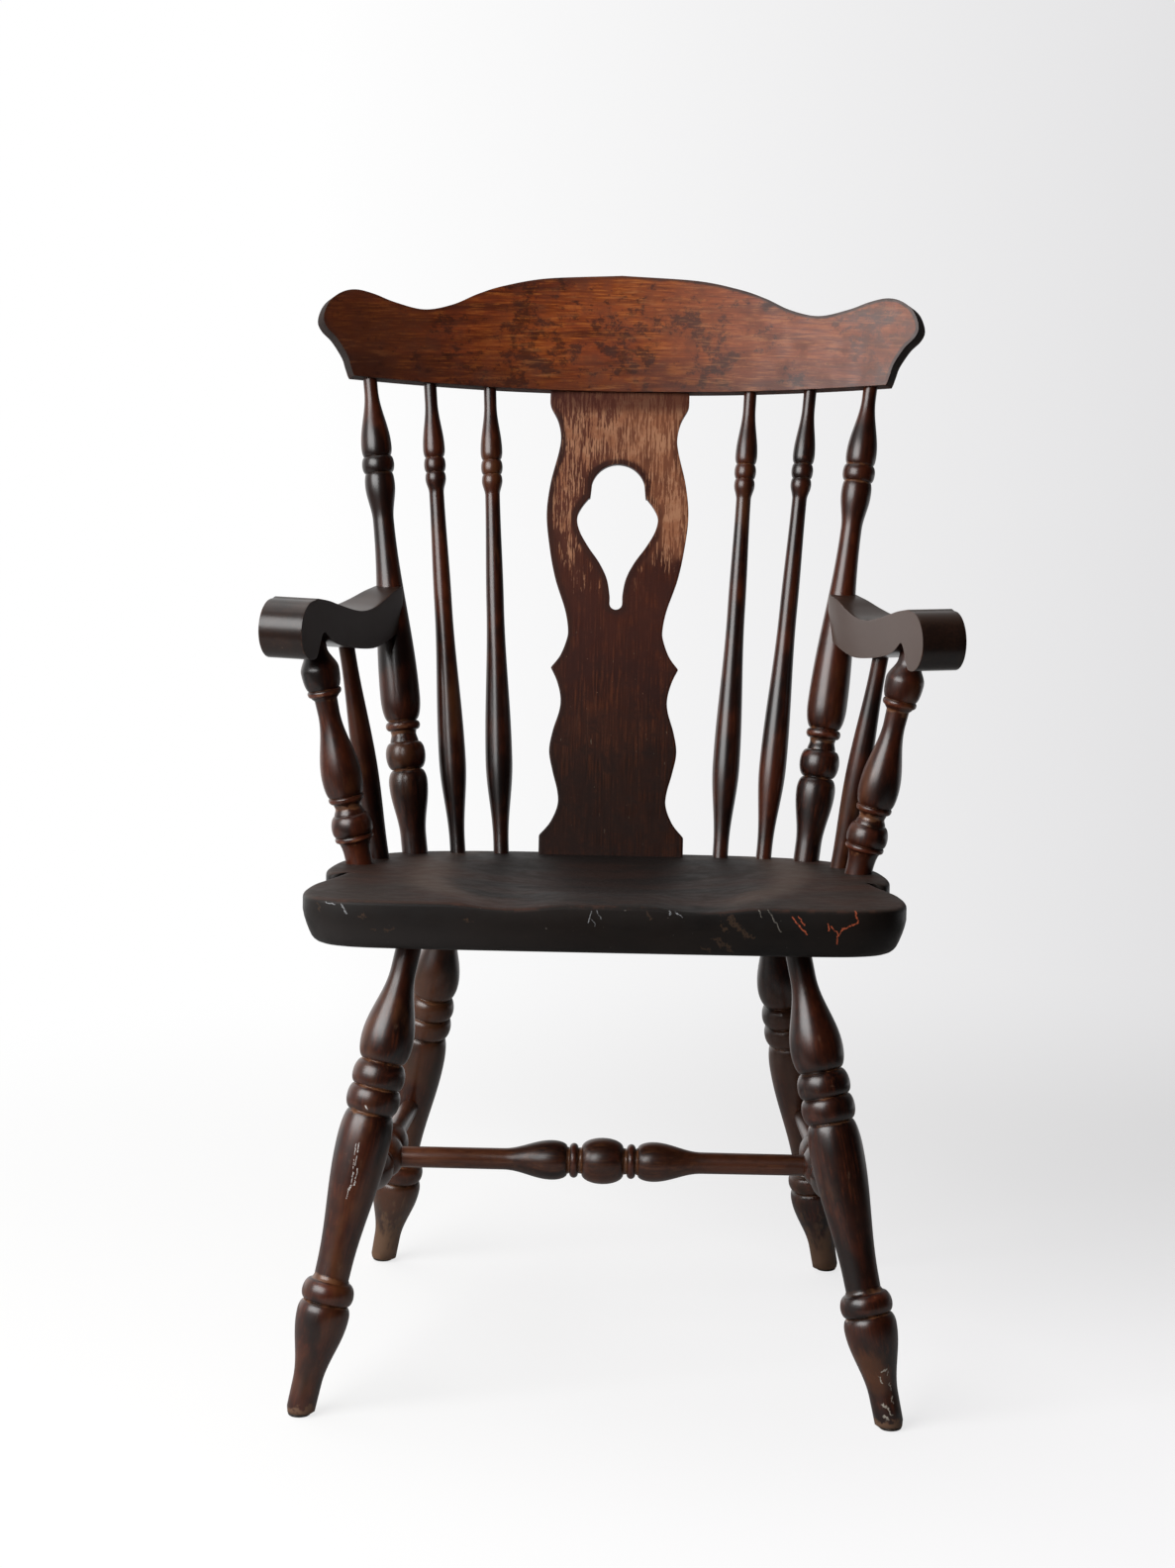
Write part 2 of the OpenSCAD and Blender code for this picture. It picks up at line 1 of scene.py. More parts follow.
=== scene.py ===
import math
import bpy
import bmesh
import numpy as np
from mathutils import Matrix, Vector, kdtree


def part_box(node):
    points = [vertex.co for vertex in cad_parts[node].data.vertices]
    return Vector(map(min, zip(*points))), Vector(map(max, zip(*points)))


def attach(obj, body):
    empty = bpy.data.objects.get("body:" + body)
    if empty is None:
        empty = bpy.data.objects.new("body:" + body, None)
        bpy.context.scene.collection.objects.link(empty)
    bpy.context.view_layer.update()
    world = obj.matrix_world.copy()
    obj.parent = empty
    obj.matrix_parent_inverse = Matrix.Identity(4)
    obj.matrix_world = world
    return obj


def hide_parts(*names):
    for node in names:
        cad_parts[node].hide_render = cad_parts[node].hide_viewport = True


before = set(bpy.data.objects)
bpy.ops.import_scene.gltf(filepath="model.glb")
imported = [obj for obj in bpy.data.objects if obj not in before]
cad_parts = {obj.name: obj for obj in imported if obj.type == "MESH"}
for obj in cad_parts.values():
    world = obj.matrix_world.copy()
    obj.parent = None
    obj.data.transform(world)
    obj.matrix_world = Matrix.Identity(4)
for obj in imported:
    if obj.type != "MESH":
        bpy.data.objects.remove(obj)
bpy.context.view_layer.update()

print("chair: frame loaded,", len(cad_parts), "parts")


def addObject(name, data):
    obj = bpy.data.objects.new(name, data)
    bpy.context.scene.collection.objects.link(obj)
    return obj


# camera: standing height, almost straight in front and looking down a little
cameraLook = {
    "place": (0.043, -3.1192, 1.005),
    "heading": 1.16,      # degrees to the left of straight ahead
    "down": 9.058,
    "roll": 0.95,
    "lens": 80.11,
    "sensor": 36,
}


def makeCamera(look):
    a, p, r = (math.radians(look[k]) for k in ("heading", "down", "roll"))
    forward = Vector((-math.sin(a) * math.cos(p), math.cos(a) * math.cos(p), -math.sin(p)))
    side = Vector((math.cos(a), math.sin(a), 0))
    up = side.cross(forward)
    sideRolled = side * math.cos(r) + up * math.sin(r)
    upRolled = up * math.cos(r) - side * math.sin(r)
    cameraData = bpy.data.cameras.new("chairCamera")
    cameraData.sensor_fit = "VERTICAL"
    cameraData.sensor_height = look["sensor"]
    cameraData.lens = look["lens"]
    camera = addObject("chairCamera", cameraData)
    turn = Matrix((sideRolled, upRolled, -forward)).transposed()
    camera.matrix_world = Matrix.Translation(look["place"]) @ turn.to_4x4()
    bpy.context.scene.camera = camera


makeCamera(cameraLook)


# ---- wiring nodes

class Wiring:
    def __init__(self, tree):
        self.tree = tree

    def node(self, kind, inputs=None, **settings):
        made = self.tree.nodes.new(kind)
        for key, value in settings.items():
            setattr(made, key, value)
        for key, value in (inputs or {}).items():
            if isinstance(value, bpy.types.NodeSocket):
                self.tree.links.new(value, made.inputs[key])
            else:
                made.inputs[key].default_value = value
        return made

    def calc(self, operation, a, b=0.0, clamp=False):
        return self.node("ShaderNodeMath", {0: a, 1: b}, operation=operation,
                         use_clamp=clamp).outputs[0]

    def times(self, first, *others, clamp=False):
        for other in others:
            first = self.calc("MULTIPLY", first, other, clamp)
        return first

    def plus(self, first, *others):
        for other in others:
            first = self.calc("ADD", first, other)
        return first

    def minus(self, a, b):
        return self.calc("SUBTRACT", a, b)

    def swing(self, pattern, amount):      # a pattern made to swing about 0
        return self.times(self.minus(pattern, 0.5), amount)

    def vector(self, operation, a, b):
        return self.node("ShaderNodeVectorMath", {0: a, 1: b}, operation=operation).outputs[0]

    def measure(self, operation, *vectors):
        return self.node("ShaderNodeVectorMath", dict(enumerate(vectors)),
                         operation=operation).outputs["Value"]

    def parts(self, vector):
        return self.node("ShaderNodeSeparateXYZ", {0: vector}).outputs

    def join(self, x, y, z):
        return self.node("ShaderNodeCombineXYZ", {"X": x, "Y": y, "Z": z}).outputs[0]

    def mix(self, factor, a, b):
        return self.node("ShaderNodeMix", {0: factor, 6: a, 7: b}, data_type="RGBA").outputs[2]

    def remap(self, value, low, high, toLow=0.0, toHigh=1.0, smooth=True):
        return self.node("ShaderNodeMapRange", {0: value, 1: low, 2: high, 3: toLow, 4: toHigh},
                         interpolation_type="SMOOTHSTEP" if smooth else "LINEAR").outputs[0]

    def mapping(self, vector, scale=(1, 1, 1), turn=(0, 0, 0)):
        return self.node("ShaderNodeMapping", {
            "Vector": vector, "Scale": scale,
            "Rotation": [math.radians(t) for t in turn]}).outputs[0]

    def noise(self, vector, scale, detail=3.0, rough=0.55, warp=0.0):
        return self.node("ShaderNodeTexNoise", {
            "Vector": vector, "Scale": scale, "Detail": detail, "Roughness": rough,
            "Distortion": warp}).outputs[0]

    def objectPlace(self):
        return self.node("ShaderNodeTexCoord").outputs["Object"]

    def attribute(self, name, output):
        return self.node("ShaderNodeAttribute", attribute_name=name).outputs[output]

    def facing(self):
        return self.parts(self.node("ShaderNodeNewGeometry").outputs["Normal"])


def newMaterial(name):
    material = bpy.data.materials.new(name)
    material.use_nodes = True
    material.node_tree.nodes.clear()
    return material, Wiring(material.node_tree)


def tone(code):
    parts = [int(code[i:i + 2], 16) / 255 for i in (0, 2, 4)]
    return [p / 12.92 if p <= 0.04045 else ((p + 0.055) / 1.055) ** 2.4 for p in parts] + [1.0]


# a straight scratch as a mask: 1 on the line between From and To, 0 away from it
def scratchGroup():
    tree = bpy.data.node_groups.new("scratchLine", "ShaderNodeTree")
    for name in ("Point", "From", "To"):
        tree.interface.new_socket(name, in_out="INPUT", socket_type="NodeSocketVector")
    tree.interface.new_socket("Width", in_out="INPUT", socket_type="NodeSocketFloat")
    tree.interface.new_socket("Mask", in_out="OUTPUT", socket_type="NodeSocketFloat")
    w = Wiring(tree)
    given = w.node("NodeGroupInput").outputs
    along = w.vector("SUBTRACT", given["To"], given["From"])
    away = w.vector("SUBTRACT", given["Point"], given["From"])
    share = w.calc("DIVIDE", w.measure("DOT_PRODUCT", away, along),
                   w.measure("DOT_PRODUCT", along, along), clamp=True)
    foot = w.node("ShaderNodeVectorMath", {0: along, "Scale": share}, operation="SCALE").outputs[0]
    half = w.times(given["Width"], 0.5)
    w.node("NodeGroupOutput", {
        "Mask": w.remap(w.measure("DISTANCE", away, foot), w.times(half, 0.5), half, 1.0, 0.0)})
    return tree


scratchLine = scratchGroup()


# scratches is a list of ((x, z), (x, z), width) in mm, seen from the front; shake bends them and
# the result is one ragged mask
def scratchMask(w, scratches, shake):
    place = w.objectPlace()
    part = w.parts(place)
    moves = [w.swing(w.noise(place, scale, 2), shake / 400) for scale in (210, 170)]
    point = w.join(w.plus(part["X"], moves[0]), 0.0, w.plus(part["Z"], moves[1]))
    total = None
    for start, end, width in scratches:
        mask = w.node("ShaderNodeGroup", {}, node_tree=scratchLine)
        w.tree.links.new(point, mask.inputs["Point"])
        for name, (x, z) in (("From", start), ("To", end)):
            mask.inputs[name].default_value = (x / 1000, 0, z / 1000)
        mask.inputs["Width"].default_value = width / 1000
        found = mask.outputs[0]
        total = found if total is None else w.calc("MAXIMUM", total, found)
    return w.times(total, w.remap(w.noise(place, 700, 3, 0.7), 0.36, 0.5))


# ---- worn stained wood

# lays a colour over the wood where mask is 1
def cover(state, mask, colour, share=None):
    w = state["w"]
    if share is not None:
        mask = w.times(mask, share)
    state["body"] = w.mix(mask, state["body"], tone(colour))


def roughen(state, mask, share):
    w = state["w"]
    state["rough"] = w.plus(state["rough"], w.times(mask, share))


# what a wood has where its own look doesn't say
plainWood = {
    "turned": False, "turn": (0, 0, 0), "figureScale": 90, "fineScale": 480, "broadScale": 10,
    "blotchScale": 60, "speckScale": 330, "streakScale": 300, "blotchFrom": 0.54, "crestFrom": 0.25,
    "crestShare": 0.0, "grooveShare": 0.0, "nickColour": "8a6f5c", "glossVary": 1.0,
    "bumpDepth": 0.0005,
}


# look holds the colours and amounts. grain is how much the pattern is squeezed on each axis,
# small along the grain, and turn lines the pattern up with the piece.
def stainedWood(name, look, extras=None):
    look = {**plainWood, "blotchColour": look["deep"], "crestColour": look["warm"],
            "grooveColour": look["bare"], **look}
    material, w = newMaterial(name)
    place = w.attribute("grainPlace", "Vector") if look["turned"] else w.objectPlace()
    relief = w.attribute("relief", "Fac")
    lined = w.mapping(place, turn=look["turn"])
    squeezed = w.mapping(lined, scale=look["grain"])
    figure = w.noise(squeezed, look["figureScale"], 4, 0.62, 0.4)
    fine = w.noise(squeezed, look["fineScale"], 4, 0.65)
    broad = w.noise(place, look["broadScale"], 3, 0.55)
    blotch = w.noise(place, look["blotchScale"], 5, 0.66, 0.2)
    speck = w.noise(place, look["speckScale"], 2, 0.5)
    state = {
        "w": w, "place": place, "lined": lined, "relief": relief, "fine": fine, "broad": broad,
        "blotch": blotch,
        "body": w.mix(w.remap(figure, 0.36, 0.64), tone(look["deep"]), tone(look["stain"])),
    }
    cover(state, w.remap(broad, 0.36, 0.64), look["warm"], look["warmShare"])
    cover(state, w.remap(w.plus(fine, w.swing(blotch, -0.4)), 0.5, 0.68), look["light"],
          look["lightShare"])
    cover(state, w.remap(fine, 0.5, 0.34), look["deep"], look["fineShare"])
    dark = w.remap(w.plus(blotch, w.swing(fine, 0.5)), look["blotchFrom"], look["blotchFrom"] + 0.1)
    cover(state, dark, look["blotchColour"], look["blotchShare"])

    # relief is 1 on a crest or an arris and -1 in a groove
    crest = w.remap(w.plus(relief, w.swing(blotch, 2.4)), look["crestFrom"],
                    look["crestFrom"] + 0.7)
    crest = w.times(crest, look["crestShare"])
    cover(state, crest, look["crestColour"])
    groove = w.remap(w.plus(w.times(relief, -1.0), w.swing(blotch, 3.0)), 0.62, 1.0)
    cover(state, groove, look["grooveColour"], look["grooveShare"])

    # rubbed places: short streaks along the grain where the stain has gone
    stretched = [1 if g == 1 else g * 1.8 for g in look["grain"]]
    streak = w.noise(w.mapping(lined, scale=stretched), look["streakScale"], 3, 0.65)
    rub = w.remap(w.plus(streak, w.times(broad, 0.25)), 0.76, 0.86)
    rub = w.times(rub, look["rubShare"])
    cover(state, rub, look["bare"])
    nick = w.remap(speck, look["nickFrom"], look["nickFrom"] + 0.02)
    nick = w.times(nick, look["nickShare"])
    cover(state, nick, look["nickColour"])

    vary = look["glossVary"]
    state["rough"] = w.remap(blotch, 0.3, 0.7, look["gloss"] - 0.05 * vary,
                             look["gloss"] + 0.07 * vary)
    roughen(state, w.calc("MAXIMUM", rub, crest), 0.12 * vary)
    height = w.plus(w.times(fine, 0.6), w.times(figure, 0.3))
    state["height"] = w.minus(height, w.times(nick, 0.8))
    if extras:
        extras(state)
    bump = w.node("ShaderNodeBump", {"Height": state["height"], "Strength": look["bump"],
                                     "Distance": look["bumpDepth"]})
    shader = w.node("ShaderNodeBsdfPrincipled", {
        "Base Color": state["body"], "Roughness": state["rough"], "Normal": bump.outputs[0],
        "Specular IOR Level": look["specular"]})
    w.node("ShaderNodeOutputMaterial", {"Surface": shader.outputs[0]})
    return material


# ---- turned pieces

# An outline is a start (s, r) and cuts (kind, s, r), in mm along the piece and from its axis.
# ease leaves and arrives along the piece, rise arrives along it, fall leaves along it, and
# bead is a ring with its crest as the fourth value.
cutSteps = {"line": 2, "ease": 16, "rise": 8, "fall": 8, "bead": 12}


def outlinePoints(start, cuts):
    points = [start]
    for cut in cuts:
        kind, s1, r1 = cut[:3]
        s0, r0 = points[-1]
        for k in range(1, cutSteps[kind] + 1):
            t = k / cutSteps[kind]
            u = (1 - math.cos(math.pi * t)) / 2
            quick, slow = math.sin(math.radians(90 * t)), 1 - math.cos(math.radians(90 * t))
            along, out = {"line": (t, t), "ease": (t, u), "rise": (slow, quick),
                          "fall": (quick, slow), "bead": (u, u)}[kind]
            bulge = 0.0
            if kind == "bead":
                bulge = (cut[3] - (r0 + r1) / 2) * math.sin(math.pi * t)
            points.append((s0 + (s1 - s0) * along, r0 + (r1 - r0) * out + bulge))
    return points


# how far each point of an outline stands out from its surroundings, from -1 to 1
def outlineRelief(points, reach=7.0, full=1.6):
    s = np.array([p[0] for p in points])
    r = np.array([p[1] for p in points])
    even = np.arange(s[0], s[-1], 0.5)
    evenR = np.interp(even, s, r)
    n = int(reach / 0.5)
    padded = np.pad(evenR, n, mode="edge")
    around = np.convolve(padded, np.ones(2 * n + 1) / (2 * n + 1), mode="valid")
    return np.clip(np.interp(s, even, (evenR - around) / full), -1, 1)


def latheTree():
    tree = bpy.data.node_groups.new("turnedPiece", "GeometryNodeTree")
    for name, inOut, kind in (
            ("Geometry", "INPUT", "Geometry"), ("Foot", "INPUT", "Vector"),
            ("Top", "INPUT", "Vector"), ("Facets Round", "INPUT", "Int"),
            ("Grain Shift", "INPUT", "Vector"), ("Wood", "INPUT", "Material"),
            ("Geometry", "OUTPUT", "Geometry")):
        tree.interface.new_socket(name, in_out=inOut, socket_type="NodeSocket" + kind)
    w = Wiring(tree)
    given = w.node("NodeGroupInput").outputs
    outline = given["Geometry"]
    rows = w.node("GeometryNodeAttributeDomainSize", {"Geometry": outline}).outputs["Point Count"]
    grid = w.node("GeometryNodeMeshGrid", {
        "Size X": 1.0, "Size Y": 1.0, "Vertices Y": rows,
        "Vertices X": w.plus(given["Facets Round"], 1.0)}).outputs["Mesh"]
    index = w.node("GeometryNodeInputIndex").outputs[0]
    row = w.calc("FLOORED_MODULO", index, rows)
    column = w.calc("FLOOR", w.calc("DIVIDE", w.plus(index, 0.01), rows))

    def fromOutline(kind, value):        # a value of the outline's point for this row
        sampled = w.node("GeometryNodeSampleIndex", {"Geometry": outline}, data_type=kind,
                         domain="POINT")
        w.tree.links.new(value, sampled.inputs["Value"])
        w.tree.links.new(row, sampled.inputs["Index"])
        return sampled.outputs[0]

    def store(geometry, kind, name, value):
        return w.node("GeometryNodeStoreNamedAttribute",
                      {"Geometry": geometry, "Name": name, "Value": value},
                      data_type=kind, domain="POINT").outputs[0]

    part = w.parts(fromOutline("FLOAT_VECTOR", w.node("GeometryNodeInputPosition").outputs[0]))
    relief = fromOutline("FLOAT", w.node("GeometryNodeInputNamedAttribute", {"Name": "relief"},
                                         data_type="FLOAT").outputs[0])
    angle = w.times(w.calc("DIVIDE", column, given["Facets Round"]), math.tau)
    local = w.join(w.times(part["X"], w.calc("COSINE", angle)),
                   w.times(part["X"], w.calc("SINE", angle)), part["Z"])
    made = store(grid, "FLOAT_VECTOR", "grainPlace", w.vector("ADD", local, given["Grain Shift"]))
    made = store(made, "FLOAT", "relief", relief)
    run = w.vector("SUBTRACT", given["Top"], given["Foot"])
    leaning = w.node("FunctionNodeAlignRotationToVector", {"Vector": run}, axis="Z").outputs[0]
    turned = w.node("FunctionNodeRotateVector", {"Vector": local, "Rotation": leaning}).outputs[0]
    for kind, inputs in (
            ("SetPosition", {"Position": w.vector("ADD", turned, given["Foot"])}),
            ("MergeByDistance", {"Distance": 0.000004}), ("SetShadeSmooth", {}),
            ("RealizeInstances", {}), ("SetMaterial", {"Material": given["Wood"]})):
        made = w.node("GeometryNode" + kind, {"Geometry": made, **inputs}).outputs[0]
    w.node("NodeGroupOutput", {"Geometry": made})
    return tree


turnedPieceTree = latheTree()


# the two ends of a turned part's axis, as the frame has it
def stickEnds(node):
    corners = np.array([v.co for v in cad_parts[node].data.vertices], float)
    corners = np.unique(np.round(corners, 6), axis=0)
    run = np.linalg.svd(corners - corners.mean(0), full_matrices=False)[2][0]
    main = int(np.argmax(np.abs(run)))
    run = run * np.sign(run[main])
    for turn in range(4):
        t = corners @ run
        low = corners[t < t.min() + 0.0007].mean(0)
        high = corners[t > t.max() - 0.0007].mean(0)
        run = (high - low) / np.linalg.norm(high - low)
    return Vector(low), Vector(high)


def applyModifiers(obj):
    bpy.context.view_layer.update()
    seen = obj.evaluated_get(bpy.context.evaluated_depsgraph_get())
    mesh = bpy.data.meshes.new_from_object(seen)
    obj.modifiers.clear()
    obj.data = mesh
    return mesh


def facesOut(mesh):
    work = bmesh.new()
    work.from_mesh(mesh)
    bmesh.ops.remove_doubles(work, verts=work.verts, dist=0.000002)
    bmesh.ops.dissolve_degenerate(work, edges=work.edges, dist=0.000002)
    bmesh.ops.recalc_face_normals(work, faces=work.faces)
    work.to_mesh(mesh)
    work.free()


def setRelief(mesh, values):
    stored = mesh.attributes.new("relief", "FLOAT", "POINT")
    stored.data.foreach_set("value", [float(v) for v in values])


def finishPiece(obj, node, wood=None):
    if wood:
        obj.data.materials.clear()
        obj.data.materials.append(wood)
    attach(obj, "root")
    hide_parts(node)


def pieceName(node):
    first, *others = node.split("_")
    return first + "".join(word.capitalize() for word in others)


# foot and top are where the outline's ends lie, tenons are how far the piece runs past them
def turnPiece(node, outline, foot, top, tenons, wood, seed, facets=56, floorCut=None):
    name = pieceName(node)
    length = (top - foot).length
    stretch = length / (outline[-1][0] / 1000)
    points = [(0.0, -tenons[0]), (outline[0][1] / 1000, -tenons[0])]
    points += [(r / 1000, s / 1000 * stretch) for s, r in outline]
    points += [(outline[-1][1] / 1000, length + tenons[1]), (0.0, length + tenons[1])]
    mesh = bpy.data.meshes.new(name + "Outline")
    steps = [(i, i + 1) for i in range(len(points) - 1)]
    mesh.from_pydata([(r, 0, s) for r, s in points], steps, [])
    setRelief(mesh, [0, 0, *outlineRelief(outline), 0, 0])
    obj = addObject(name, mesh)
    modifier = obj.modifiers.new("lathe", "NODES")
    modifier.node_group = turnedPieceTree
    sockets = {item.name: item.identifier for item in turnedPieceTree.interface.items_tree
               if item.in_out == "INPUT"}
    shift = [float(v) for v in np.random.default_rng(seed).uniform(-2, 2, 3)]
    for socket, value in (("Foot", foot), ("Top", top), ("Facets Round", facets),
                          ("Grain Shift", shift), ("Wood", wood)):
        modifier[sockets[socket]] = value
    made = applyModifiers(obj)
    if floorCut is not None:
        for corner in made.vertices:
            corner.co.z = max(corner.co.z, floorCut)
    facesOut(made)
    finishPiece(obj, node)


# dark satin stain, redder on the crests of the beads and worn to gold in some grooves
turnedLook = {
    "turned": True, "grain": (1, 1, 0.06), "deep": "0f0504", "stain": "2c1209", "warm": "4e210f",
    "light": "63301a", "bare": "7d5638", "warmShare": 0.65, "lightShare": 0.3, "blotchShare": 0.3,
    "blotchScale": 75, "fineShare": 0.25, "crestColour": "64301f", "crestShare": 0.55,
    "crestFrom": 0.3, "grooveColour": "85583a", "grooveShare": 0.5, "rubShare": 0.08,
    "nickShare": 0.15, "nickFrom": 0.77, "gloss": 0.3, "glossVary": 0.0, "bump": 0.0,
    "specular": 0.55,
}
turnedZones = {"amber": "5e371e", "black": "0d0605", "rim": "8d6042", "scale": 24}


# soft amber and blackish zones along a turning, and rims rubbed pale
def turnedExtras(state):
    w = state["w"]
    zones = w.noise(w.mapping(state["place"], scale=(1, 1, 0.45)), turnedZones["scale"], 3, 0.6)
    zones = w.plus(zones, w.times(state["relief"], 0.05))
    rim = w.plus(state["relief"], w.swing(state["blotch"], 2.5))
    cover(state, w.remap(zones, 0.49, 0.36, 0.0, 0.85), turnedZones["black"])
    cover(state, w.remap(zones, 0.55, 0.70, 0.0, 0.5), turnedZones["amber"])
    cover(state, w.remap(rim, 0.92, 1.25, 0.0, 0.5), turnedZones["rim"])


turnedWood = stainedWood("darkTurnedWood", turnedLook, turnedExtras)
stretcherLook = dict(turnedLook, deep="1d0d08", stain="3f2013", warm="5a2f1a", light="6f452a",
                     crestShare=0.4, rubShare=0.2, gloss=0.33)
stretcherWood = stainedWood("redBrownTurnedWood", stretcherLook)

# wear on the legs: strokes of white paint on the front of the left one and on its bead, chips
# on the right front foot, bare ends on all four, x and z in mm; toFront is where the front
# legs begin, in metres
legWear = {
    "paint": [((-203.6, 236), (-204.8, 228), 0.9), ((-206.2, 235), (-207.4, 226), 0.8),
              ((-205.2, 225), (-206.6, 217), 0.9), ((-207.6, 222), (-208.6, 214), 0.8),
              ((-204.6, 214), (-206.2, 206), 1.1), ((-208.2, 211), (-209.6, 202), 0.9),
              ((-206.4, 204), (-207.2, 200), 1.0), ((-209.6, 200), (-211.6, 196), 2.0),
              ((-212.6, 196), (-213.6, 188), 0.8), ((-199, 266.5), (-197.8, 264), 2.2)],
    "chips": [((243.5, 52), (246.5, 54), 1.8), ((242, 47), (243, 43), 1.6),
              ((248, 52), (248.5, 48), 1.2), ((250.5, 42), (251.5, 35), 1.1),
              ((244, 24), (247, 22), 2.2), ((249, 21), (252, 16), 1.5),
              ((251.5, 30), (253, 24), 1.0), ((246, 14), (249, 11), 2.0)],
    "bareEnd": 16, "rearWorn": 78, "toFront": (-0.225, -0.240), "amberColour": "4d321f",
    "rearColour": "6b4e38", "endColour": "6a4c36", "chipColour": "a39b90", "paintColour": "cdc9c5",
}


def legExtras(state):
    turnedExtras(state)
    w, worn = state["w"], legWear
    place = w.objectPlace()
    part = w.parts(place)
    toFront = w.remap(part["Y"], *worn["toFront"])
    paint = w.times(scratchMask(w, worn["paint"], 1.2), toFront)
    chips = w.times(scratchMask(w, worn["chips"], 3.0), toFront)
    end = w.plus(w.remap(part["Z"], worn["bareEnd"] / 1000, 0.002, 0.0, 0.5, False),
                 w.noise(place, 130, 4, 0.65))
    end = w.remap(end, 0.68, 0.82)
    rear = w.times(w.remap(part["Y"], 0.0, 0.1),
                   w.remap(part["Z"], worn["rearWorn"] / 1000, 0.01, 0.0, 0.42, False))
    streaks = w.noise(w.mapping(state["lined"], scale=(1, 1, 0.3)), 150, 4, 0.7)
    rear = w.remap(w.plus(rear, streaks), 0.6, 0.86)
    amber = w.remap(w.plus(state["broad"], w.remap(part["Y"], 0.0, 0.1, 0, 0.09)), 0.54, 0.7)
    cover(state, amber, worn["amberColour"], 0.5)
    cover(state, rear, worn["rearColour"], 0.75)
    cover(state, end, worn["endColour"], 0.8)
    cover(state, chips, worn["chipColour"], 0.95)
    cover(state, paint, worn["paintColour"], 0.85)
    roughen(state, w.calc("MAXIMUM", rear, end), 0.3)


legWood = stainedWood("wornLegWood", turnedLook, legExtras)

# a leg, from the foot up; all four are the same turning
leg = {
    "start": (0, 10.4),
    "cuts": [("line", 6, 12.2), ("line", 28, 12.5), ("ease", 88, 22.6), ("fall", 98, 18),
             ("bead", 117, 16.5, 22.4), ("line", 120, 15), ("line", 126, 15.1), ("ease", 238, 23),
             ("fall", 264, 18), ("bead", 286, 18.4, 23), ("bead", 308, 16.5, 22.6),
             ("rise", 326, 22.6), ("ease", 388, 11), ("line", 414, 11)],
    "tenon": 0.025, "glideTop": 0.003, "facets": 64,
}


def makeLegs():
    outline = outlinePoints(leg["start"], leg["cuts"])
    for k, node in enumerate(("front_leg_left", "front_leg_right", "rear_leg_left",
                              "rear_leg_right")):
        lowest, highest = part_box(node.replace("leg", "glide"))
        foot = (lowest + highest) / 2
        foot.z = 0
        tip = stickEnds(node)[1]
        run = (tip - foot).normalized()
        turnPiece(node, outline, foot, tip - run * leg["tenon"], (0, leg["tenon"]), legWood,
                  11 + k, facets=leg["facets"], floorCut=leg["glideTop"])


makeLegs()
print("chair: legs turned")

# sticks between the seat and the crest rail or the arms: outline, then the tenons' lengths
backPost = {
    "start": (0, 12.2),
    "cuts": [("line", 16, 12.2), ("ease", 66, 18.4), ("fall", 79, 12.8),
             ("bead", 105, 13.4, 18.8), ("ease", 113, 11.8), ("line", 116, 12.4),
             ("bead", 125, 12.6, 16.3), ("rise", 148, 18.8), ("ease", 316, 9.9),
             ("ease", 350, 14.2), ("fall", 361, 12.2), ("bead", 377, 12.2, 15.3),
             ("rise", 386, 14.4), ("ease", 440, 6.6), ("line", 448, 6.6)],
    "tenons": (0.023, 0.025),
}
backSpindle = {
    "start": (0, 7.3),
    "cuts": [("line", 10, 7.3), ("ease", 88, 12.8), ("ease", 236, 8.4), ("ease", 341, 7),
             ("ease", 355, 9.8), ("fall", 361, 8), ("bead", 375, 8, 10.3), ("rise", 383, 10.4),
             ("ease", 428, 6), ("line", 443, 6)],
    "tenons": (0.023, 0.025),
}
armPost = {
    "start": (0, 12.3),
    "cuts": [("line", 6, 12.3), ("fall", 22, 16), ("bead", 27, 16, 17.8), ("bead", 46, 14, 18.8),
             ("ease", 53, 11.8), ("line", 57, 13), ("bead", 63, 14.6, 16.3), ("rise", 81, 18.6),
             ("ease", 138, 10), ("line", 151, 10.4), ("ease", 155, 13), ("bead", 161, 13.6, 15.6),
             ("rise", 178, 17.6), ("ease", 197, 10.5), ("line", 206, 10.5)],
    "tenons": (0.023, 0.017),
}
armSpindle = {
    "start": (0, 8.6),
    "cuts": [("ease", 85, 11.1), ("ease", 190, 7.4), ("line", 198, 7.4)],
    "tenons": (0.023, 0.017),
}


def makeSticks():
    kinds = (("back_post", backPost), ("outer_spindle", backSpindle),
             ("inner_spindle", backSpindle), ("arm_post", armPost), ("arm_spindle", armSpindle))
    for k, (part, shape) in enumerate(kinds):
        outline = outlinePoints(shape["start"], shape["cuts"])
        inSeat, inTop = shape["tenons"]
        for side, where in enumerate(("_left", "_right")):
            low, high = stickEnds(part + where)
            run = (high - low).normalized()
            turnPiece(part + where, outline, low + run * inSeat, high - run * inTop,
                      shape["tenons"], turnedWood, 31 + 2 * k + side)


makeSticks()
print("chair: posts and spindles turned")

# half of a stretcher, from its middle ball to its end
stretcher = {
    "ball": (0, 21),
    "cuts": [("fall", 19, 12), ("line", 22, 11.6), ("bead", 30, 11.6, 15.8), ("line", 32, 12.4),
             ("rise", 46, 18)],
    "neckAt": 90, "hidden": 0.3,
}


